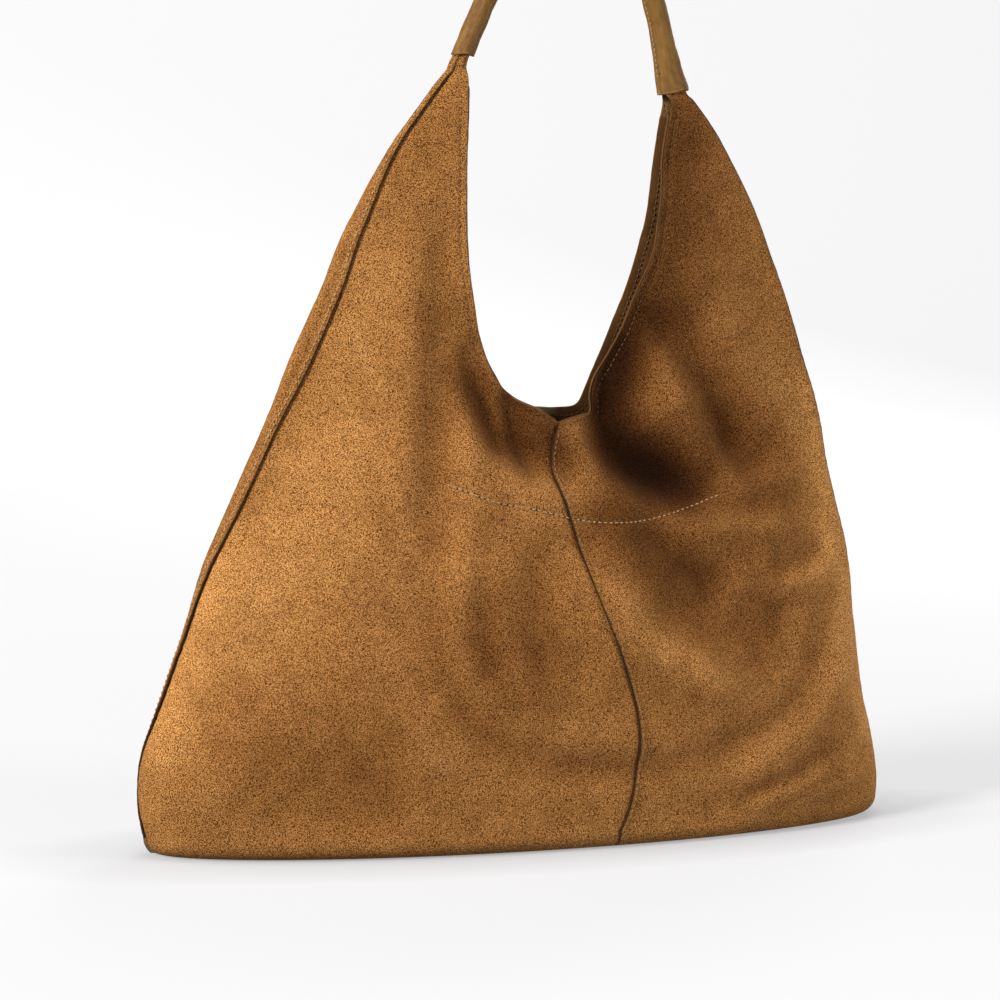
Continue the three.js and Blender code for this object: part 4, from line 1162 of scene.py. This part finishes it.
for face in (FRONT, BACK):
    u = np.linspace(-1, 1, 33)
    uu, vv = np.meshgrid(u, u[::-1], indexing="ij")
    swell = np.maximum(np.abs(uu), np.abs(vv))
    corner = np.maximum((np.abs(uu) ** 7 + np.abs(vv) ** 7) ** (1 / 7), 1e-6)
    px = SNAP_X + PATCH_HALF * uu * swell / corner
    pz = SNAP_Z + PATCH_HALF * vv * swell / corner
    near, way = skin(px, pz, face, PATCH_DEPTH)
    far = near - way * (1.2 - 0.3 * bell(swell, 0.8, 0.05))[..., None]
    add(f"{FACE_NAME[face]}_snap_patch", "leather", sheet_mesh(near, far), [FACING_LEATHER],
        "bag")
    seat, way = skin(np.array([float(SNAP_X)]), np.array([float(SNAP_Z)]), face, SNAP_DEPTH)
    seat, way = seat[0], -way[0]
    add(f"{FACE_NAME[face]}_snap_washer", "metal", ring_body(lathe(WASHER, seat, way)), [NICKEL],
        "bag")
    node, profile = SNAP_HALF[face]
    add(node, "metal", tube(lathe(profile, seat, way)), [NICKEL], "bag")

HEADER_LOW_Y, HEADER_LOW_Z = -30.5, 190.6
columns = np.linspace(POCKET_LEFT, POCKET_RIGHT, 93)
rows = []
for rise in (6, 5.2, 4, 2, 0.8, 0, -0.8, -2):
    z = POCKET_STITCH(columns) + rise
    point, way = skin(columns, z, FRONT, SUEDE + 0.35 + 0.25 * math.exp(-rise * rise))
    rows.append(point)
low = np.stack([columns, np.full(columns.shape, HEADER_LOW_Y), np.full(columns.shape, HEADER_LOW_Z)], 1)
high = rows[-1]
for share in np.linspace(0, 1, 11)[1:]:
    bow = 1.4 * math.sin(math.pi * share)
    sag = 0.5 * np.sin(columns / 9) * math.sin(math.pi * share)
    point = high * (1 - share) + low * share
    point[:, 1] = high[:, 1] * (1 - share) ** 1.5 + low[:, 1] * (1 - (1 - share) ** 1.5) + sag - bow * 0.3
    rows.append(point)
header = np.stack(rows)
header_out = grid_normals(header)
header_out *= np.sign(header_out[:, :, 1].mean()) * -1
add("pocket_header", "leather", sheet_mesh(header, header - header_out * 1.1), [FACING_LEATHER],
    "bag")


# ---------------- hanging pocket and its zip

POCKET_TOP, BACK_TOP, POCKET_BOTTOM = 189.4, 167.0, 62.0
CLOTH = 0.6
cloth_wave = waves(10, 18, 60, 51)
cloth_crease = waves(12, 7, 15, 52)


def front_cloth_y(x, z):
    down = (POCKET_TOP - z) / (POCKET_TOP - POCKET_BOTTOM)
    hang = smoothstep(0, 0.25, down)
    return -30.6 - hang * (0.5 + 0.9 * cloth_wave(x, z * 0.4)) - 0.12 * cloth_crease(x, z)


def back_cloth_y(x, z):
    down = (BACK_TOP - z) / (BACK_TOP - POCKET_BOTTOM)
    across = 2 * (x - POCKET_LEFT) / (POCKET_RIGHT - POCKET_LEFT) - 1
    open_share = 1 - across ** 4
    belly = 2.9 * (1 - down) + 6.6 * np.sin(math.pi * np.clip(down, 0, 1)) ** 0.9
    fold = 0.9 * cloth_wave(x + 200, z * 0.5) + 0.2 * cloth_crease(x, z)
    fold *= np.sin(math.pi * np.clip(down, 0, 1))
    front = front_cloth_y(x, z) + CLOTH + 0.25
    return front + (belly + fold + 0.9 * (1 - down)) * open_share


for name, top, shape in (("pocket_front_cloth", POCKET_TOP, front_cloth_y),
                         ("pocket_back_cloth", BACK_TOP, back_cloth_y)):
    zz, xx = np.meshgrid(np.linspace(top, POCKET_BOTTOM, 76), np.linspace(POCKET_LEFT, POCKET_RIGHT, 104),
                         indexing="ij")
    grid = np.stack([xx, shape(xx, zz), zz], -1)
    obj = add(name, "twill", sheet_mesh(grid, grid + [0, CLOTH, 0], 0.2), [POCKET_CLOTH],
              "pocket")

ZIP_Y, ZIP_Z = -26.6, 177.0
TEETH_LEFT, TEETH_RIGHT = -55, 115
TOOTH_PITCH = 1.5
# Sections of a tooth: distance from the zip's middle, half length along the zip and half depth
TOOTH = [(1.95, 0.42, 0.85), (1.2, 0.42, 0.88), (0.75, 0.36, 0.84), (0.45, 0.34, 0.8),
         (0.1, 0.52, 0.78), (-0.25, 0.52, 0.68), (-0.42, 0.36, 0.45)]
turn = full_turn(12)
wide = np.sign(np.cos(turn)) * np.abs(np.cos(turn)) ** 0.5
deep = np.sign(np.sin(turn)) * np.abs(np.sin(turn)) ** 0.5
for word, way in (("upper", 1), ("lower", -1)):
    xs = np.linspace(POCKET_LEFT, POCKET_RIGHT, 150)
    across = np.array([1.2, 1.5, 2.2, 2.6, 3.0, 4.4, 6, 7.6, 8.4, 8.8, 9.2, 10.5, 11.8])
    zz, xx = np.meshgrid(ZIP_Z + way * across, xs, indexing="ij")
    rib = 0.28 * bell(np.abs(zz - ZIP_Z), 2.6, 0.35)
    groove = 0.16 * bell(np.abs(zz - ZIP_Z), 8.8, 0.4)
    ends = smoothstep(0, 6, np.minimum(xx - POCKET_LEFT, POCKET_RIGHT - xx))
    settle = (1 - ends) * 2.0 * smoothstep(POCKET_LEFT - 1, POCKET_LEFT, xx)
    y = ZIP_Y + 0.25 - settle + 0.1 * np.sin(xx / 6 + way)
    outer = np.stack([xx, y + rib - groove, zz], -1)
    inner = np.stack([xx, y - 0.5, zz], -1)
    add(f"zip_{word}_tape", "woven", sheet_mesh(outer, inner, 0.2), [TAPE_CLOTH], "pocket")

    shift = 0 if way > 0 else TOOTH_PITCH / 2
    parts = [tube([np.stack([x + half_x * wide, ZIP_Y + half_y * deep, np.full(12, ZIP_Z + way * reach_z)], 1)
                   for reach_z, half_x, half_y in TOOTH])
             for x in np.arange(TEETH_LEFT + 0.5 + shift, TEETH_RIGHT - 0.4, TOOTH_PITCH)]
    add(f"zip_{word}_teeth", "coils", join_parts(parts), [BRASS], "pocket")


def outline_ring(outline, level, grow):
    """An outline of (x, z) points as a ring at a level in y, grown away from its middle."""
    ring = outline + unit(outline - outline.mean(0)) * grow
    return np.stack([ring[:, 0], np.full(len(ring), level), ring[:, 1]], 1)


def rounded_prism(outline, low, high, bevel):
    """Plate with rounded edges: an outline of (x, z) points, from low to high in y."""
    outline = np.asarray(outline, float)
    return tube([outline_ring(outline, level, -shrink) for level, shrink in (
        (low, bevel), (low + bevel * 0.3, bevel * 0.3), (low + bevel, 0),
        (high - bevel, 0), (high - bevel * 0.3, bevel * 0.3), (high, bevel))])


def rounded_outline(left, right, bottom, top, corner, count=6):
    """A rectangle in x and z with round corners."""
    points = []
    for cx, cy, start in ((right - corner, top - corner, 0), (left + corner, top - corner, 90),
                          (left + corner, bottom + corner, 180), (right - corner, bottom + corner, 270)):
        for angle in np.radians(np.linspace(start, start + 90, count)):
            points.append((cx + corner * math.cos(angle), cy + corner * math.sin(angle)))
    return points


for word, x in (("left", TEETH_LEFT - 2.7), ("right", TEETH_RIGHT + 0.3)):
    outline = rounded_outline(x, x + 2.4, ZIP_Z - 2.2, ZIP_Z + 2.2, 0.5)
    add(f"zip_{word}_stop", "metal", rounded_prism(outline, ZIP_Y - 1.3, ZIP_Y + 1.3, 0.35), [BRASS],
        "pocket")

SLIDER_X = -47.0
body_outline = [(-4, -3.1), (-3.2, -3.6), (1.5, -4.6), (3.4, -4.6), (4, -4.1), (4, -1.1), (3.6, -0.5), (3.4, 0),
                (3.6, 0.5), (4, 1.1), (4, 4.1), (3.4, 4.6), (1.5, 4.6), (-3.2, 3.6), (-4, 3.1)]
body_outline = [(SLIDER_X + a, ZIP_Z + b) for a, b in body_outline]
parts = [rounded_prism(body_outline, ZIP_Y + 1.35, ZIP_Y + 2.2, 0.25),
         rounded_prism(body_outline, ZIP_Y - 2.2, ZIP_Y - 1.35, 0.25),
         rounded_prism(rounded_outline(SLIDER_X + 0.5, SLIDER_X + 3.2, ZIP_Z - 0.35, ZIP_Z + 0.35, 0.3),
                       ZIP_Y - 1.5, ZIP_Y + 1.5, 0.05)]
arch = []
for angle in np.linspace(0, math.pi, 17):
    middle = np.array([SLIDER_X + 2.5 * math.cos(angle), ZIP_Y + 2.0 + 2.55 * math.sin(angle) ** 0.7, ZIP_Z])
    lean = np.array([math.cos(angle), math.sin(angle), 0])
    arch.append(middle + lean * (0.42 * np.sin(turn))[:, None] + np.array([0, 0, 1]) * np.cos(turn)[:, None])
parts.append(tube(arch))
add("zip_slider", "metal", join_parts(parts), [BRASS], "zip_slider")

PULLER_Y = ZIP_Y + 3.2
tab = rounded_outline(-20, 0.55, -3, 3, 1.2, 8)
hole = rounded_outline(-5.2, -0.55, -1.6, 1.6, 0.6, 8)
# Levels of the puller's edge through its thickness, and how far the edge is rounded off at each
EDGE = (-0.55, 0.2), (-0.4, 0.04), (-0.25, 0), (0.25, 0), (0.4, 0.04), (0.55, 0.2)
rings = []
for outline, edge, way in ((tab, EDGE, -1), (hole, EDGE[::-1], 1)):
    outline = np.array([(SLIDER_X + a, ZIP_Z + b) for a, b in outline])
    rings += [outline_ring(outline, PULLER_Y + level, way * round_off) for level, round_off in edge]
add("zip_puller", "metal", ring_body(np.stack(rings)), [BRASS], "zip_puller")


# ---------------- handle

HANDLE_LINE = smooth_line([
    (-41.5, 486), (-26, 521), (-8.5, 557), (11, 585.5), (34, 597),
    (57, 586), (75, 558), (87, 525), (100, 469)], 700)
HANDLE_LENGTH = lengths(HANDLE_LINE)[-1]
HANDLE_RADIUS = track([(0, 6.3), (0.15, 6.2), (0.8, 6.6), (0.88, 6.9), (0.94, 8.1), (1, 10.3)])
HANDLE_DEPTH = 6.4
HANDLE_WALL = 1.0
HANDLE_RINGS, HANDLE_SIDES = 190, 72
_along = lengths(HANDLE_LINE)
_heading = unit(np.gradient(HANDLE_LINE, axis=0))


def handle_frame(s):
    """Centre and heading of the handle at a length along it, in x and z; straight on past its ends."""
    inside = np.clip(s, 0, HANDLE_LENGTH)
    centre = at_length(inside, _along, HANDLE_LINE)
    heading = unit(at_length(inside, _along, _heading))
    return centre + heading * (s - inside)[..., None], heading


handle_wrinkle = waves(16, 9, 26, 61)
handle_fine = waves(16, 3, 8, 62)


def handle_grid(inset):
    """Leather tube as rings.

    Angle 0 is its outer side and half a turn its inner side, where the strip's edges meet in a flange.
    """
    angle = full_turn(HANDLE_SIDES)
    share = np.linspace(0, 1, HANDLE_RINGS)[:, None]
    side = np.cos(angle)[None]
    first = 3.4 - 2.3 * side + 0.4 * np.sin(3 * angle)[None]
    last = HANDLE_LENGTH + 1.0 + 0.7 * side + 0.4 * np.sin(2 * angle)[None]
    s = first * (1 - share) + last * share
    centre, heading = handle_frame(s)
    t = np.clip(s / HANDLE_LENGTH, 0, 1)
    wide = HANDLE_RADIUS(t)
    deep = np.minimum(wide, HANDLE_DEPTH)
    seam = np.arctan2(np.sin(angle - math.pi), np.cos(angle - math.pi))[None]
    near_end = smoothstep(HANDLE_LENGTH - 16, HANDLE_LENGTH, s)
    flange = np.exp(-(seam / 0.30) ** 4) * (1 - 0.55 * near_end)
    valley = bell(np.abs(seam), 0.52, 0.12)
    split = bell(seam, 0, 0.05)
    crease = np.exp(-0.5 * ((seam - 0.95 - 0.15 * np.sin(s / 17)) / 0.10) ** 2) * smoothstep(0.5, 0.8, t)
    crease += 0.7 * np.exp(-0.5 * ((seam + 1.0 + 0.1 * np.sin(s / 13)) / 0.12) ** 2) * smoothstep(0.45, 0.9, t)
    around = 6.2 * angle[None]
    rough = 0.13 * handle_wrinkle(s, around + 30) + 0.045 * handle_fine(s, around)
    if inset:
        extra = 0.55 * flange - 0.4 * valley - inset
    else:
        extra = 1.15 * flange - 0.75 * valley - 0.5 * split - 0.45 * crease + rough
    square = 1 + 0.03 * np.cos(4 * angle)[None]
    across = (wide * square + extra) * side
    y = (deep * square + extra * (0.35 + 0.65 * np.abs(np.sin(angle))[None])) * np.sin(angle)[None]
    out_x, out_z = -heading[..., 1], heading[..., 0]
    return np.stack([centre[..., 0] + out_x * across, y, centre[..., 1] + out_z * across], -1)


def tube_shell(outer, inner):
    """Open tube with a wall: outer rings, inner rings and a rounded lip at both ends."""
    rows, columns = outer.shape[:2]
    size = rows * columns
    vertices = [outer.reshape(-1, 3), inner.reshape(-1, 3)]
    faces = [grid_faces(rows, columns, wraps=True), grid_faces(rows, columns, size, wraps=True, flip=True)]
    start = 2 * size
    index = np.arange(columns)
    nxt = np.roll(index, -1)
    for end, before in ((0, 1), (rows - 1, rows - 2)):
        away = unit(outer[end] - outer[before])
        vertices += [outer[end] * (1 - t) + inner[end] * t + away * 0.4 * math.sin(math.pi * t)
                     for t in (0.25, 0.5, 0.75)]
        loops = [end * columns + index, *[start + k * columns + index for k in range(3)],
                 size + end * columns + index]
        start += 3 * columns
        for upper, lower in zip(loops[:-1], loops[1:]):
            quads = np.stack([upper, lower, lower[nxt], upper[nxt]], 1)
            faces.append(quads if end == 0 else quads[:, ::-1])
    return np.vstack(vertices), np.vstack(faces)


grid = handle_grid(0)
mesh = tube_shell(grid, handle_grid(HANDLE_WALL))
rows_s, around = np.meshgrid(np.linspace(0, HANDLE_LENGTH, HANDLE_RINGS), np.linspace(0, 40, HANDLE_SIDES),
                             indexing="ij")
lengthwise = waves(40, 2.2, 9, 63)(rows_s * 0.08, around) + 0.6 * handle_fine(rows_s, around)
streak = np.clip(0.28 + 0.42 * lengthwise, 0, 1).ravel()
streak = np.concatenate([streak, streak, np.full(len(mesh[0]) - 2 * len(streak), 0.3)])
add("handle_cover", "leather", mesh, [HANDLE_LEATHER], "handle",
    attributes=[("streak", streak)])

turn = full_turn(30)
rings = []
for s in np.arange(14, HANDLE_LENGTH - 14, 1.6):
    centre, heading = handle_frame(np.array(s))
    radius = 4.0 + 0.25 * np.abs(np.cos(1.5 * turn + s / 4))
    across = radius * np.cos(turn)
    rings.append(np.stack([centre[0] - heading[1] * across, radius * np.sin(turn),
                           centre[1] + heading[0] * across], 1))
add("handle_core", "cord", tube(rings), [CORD], "handle")

parts = []
for column, way_y, seed in ((33, 1, 71), (39, -1, 72)):
    points = grid[6:-6, column]
    ways = unit(np.stack([np.zeros(len(points)), np.full(len(points), float(way_y)), np.zeros(len(points))], 1)
                + 0.35 * unit(grid[6:-6, 36] - grid[6:-6, 0]))
    parts.append(stitch_run(points, ways, 3.3, 2.4, HANDLE_THREAD_RADIUS, seed))
add("handle_thread", "stitches", join_parts(parts), [THREAD], "handle")


# ---------------- stage, light and camera

# The stage: its shade, its glow near the bag and far off, its glow in the painted shadow under the bag, the
# half width and half depth of the bag's footprint, where that painted shadow lies, and the sweep from floor to
# wall
PAPER_SHADE, NEAR_GLOW, FAR_GLOW, PAINTED_SHADOW_GLOW = 0.30, 0.53, 0.78, 0.7
FOOTPRINT_X, FOOTPRINT_Y = 0.27, 0.10
FLOOR_GAP, SWEEP_FROM, SWEEP_RADIUS, WALL_TOP = 0.0004, 2.6, 1.6, 7.0


def stage_material(name, shade):
    """Pale paper that glows a little, less so around the bag where the lamps reach it, and less still under the
    bag's footprint as a painted shadow.
    """
    n = Nodes(name)
    tone = n.mix(n.ramp(n.noise(2.0, 2, 0.5), 0.3, 0.7),
                 (shade, shade, shade * 1.01), (shade * 0.99, shade * 0.99, shade))
    glow = n.ramp(n.distance(n.place), 0.3, 3.0, NEAR_GLOW, FAR_GLOW)
    # Painted shadow: the paper glows less under the bag's footprint
    under = n.distance(n.stretched(1 / FOOTPRINT_X, 1 / FOOTPRINT_Y, 1))
    n.link(n.maths("MULTIPLY", glow, n.ramp(under, 0.8, 1.3, PAINTED_SHADOW_GLOW, 1.0)),
           n.shader.inputs["Emission Strength"])
    n.shader.inputs["Emission Color"].default_value = (0.985, 0.985, 1.0, 1)
    return n.finish(tone, 1.0, Specular_IOR_Level=0.0)


def backdrop():
    """Floor that sweeps up into a wall behind the bag."""
    profile = [(y, -FLOOR_GAP) for y in (-6.0, -2.0, -0.5, 0.6, SWEEP_FROM)]
    for angle in np.radians(np.linspace(0, 90, 16))[1:]:
        profile.append((SWEEP_FROM + SWEEP_RADIUS * math.sin(angle),
                        SWEEP_RADIUS - SWEEP_RADIUS * math.cos(angle) - FLOOR_GAP))
    profile.append((4.2, WALL_TOP))
    profile = np.array(profile) * 1000
    xs = np.linspace(-9000, 9000, 19)
    grid = np.stack([np.stack([xs, np.full(xs.shape, y), np.full(xs.shape, z)], 1) for y, z in profile])
    faces = grid_faces(len(profile), len(xs), flip=True)
    obj = make_object("backdrop", grid.reshape(-1, 3), faces, [stage_material("pale_backdrop", PAPER_SHADE)])
    obj.visible_diffuse = False


backdrop()


def softbox(name, location, target, size, power, tint=(1, 1, 1)):
    """A rectangular lamp aimed at a target."""
    light = bpy.data.lights.new(name, "AREA")
    light.shape = "RECTANGLE"
    light.size, light.size_y = size
    light.energy = power
    light.color = tint
    lamp = bpy.data.objects.new(name, light)
    bpy.context.scene.collection.objects.link(lamp)
    lamp.location = location
    lamp.rotation_mode = "QUATERNION"
    lamp.rotation_quaternion = (Vector(target) - Vector(location)).to_track_quat("-Z", "Y")


softbox("key_softbox", (-3.3, -1.5, 1.9), (-0.05, 0, 0.24), (1.0, 1.2), 220, (1.0, 0.985, 0.96))
softbox("top_softbox", (-0.2, -0.1, 2.6), (0, 0, 0.2), (1.2, 1.0), 26)
softbox("back_softbox", (1.8, 2.4, 1.7), (0, 0, 0.25), (1.4, 1.4), 45)
softbox("low_softbox", (0.1, -1.5, 0.06), (0, 0, 0.06), (2.0, 0.2), 5)
softbox("fill_softbox", (3.0, -2.0, 1.2), (0.1, 0, 0.25), (1.0, 1.2), 70)

world = bpy.data.worlds.new("studio")
bpy.context.scene.world = world
world.use_nodes = True
world.node_tree.nodes["Background"].inputs["Color"].default_value = (1, 1, 1, 1)
world.node_tree.nodes["Background"].inputs["Strength"].default_value = 0.14

camera = bpy.data.objects.new("camera", bpy.data.cameras.new("camera"))
bpy.context.scene.collection.objects.link(camera)
camera.data.lens = 110.8
camera.data.sensor_width = 36
camera.location = (-0.61082, -1.83334, 0.38073)
looks_at = Vector((-0.033, -0.055, 0.21714))
camera.rotation_mode = "QUATERNION"
camera.rotation_quaternion = (looks_at - camera.location).to_track_quat("-Z", "Y")
bpy.context.scene.camera = camera
bpy.context.scene.view_settings.view_transform = "Standard"
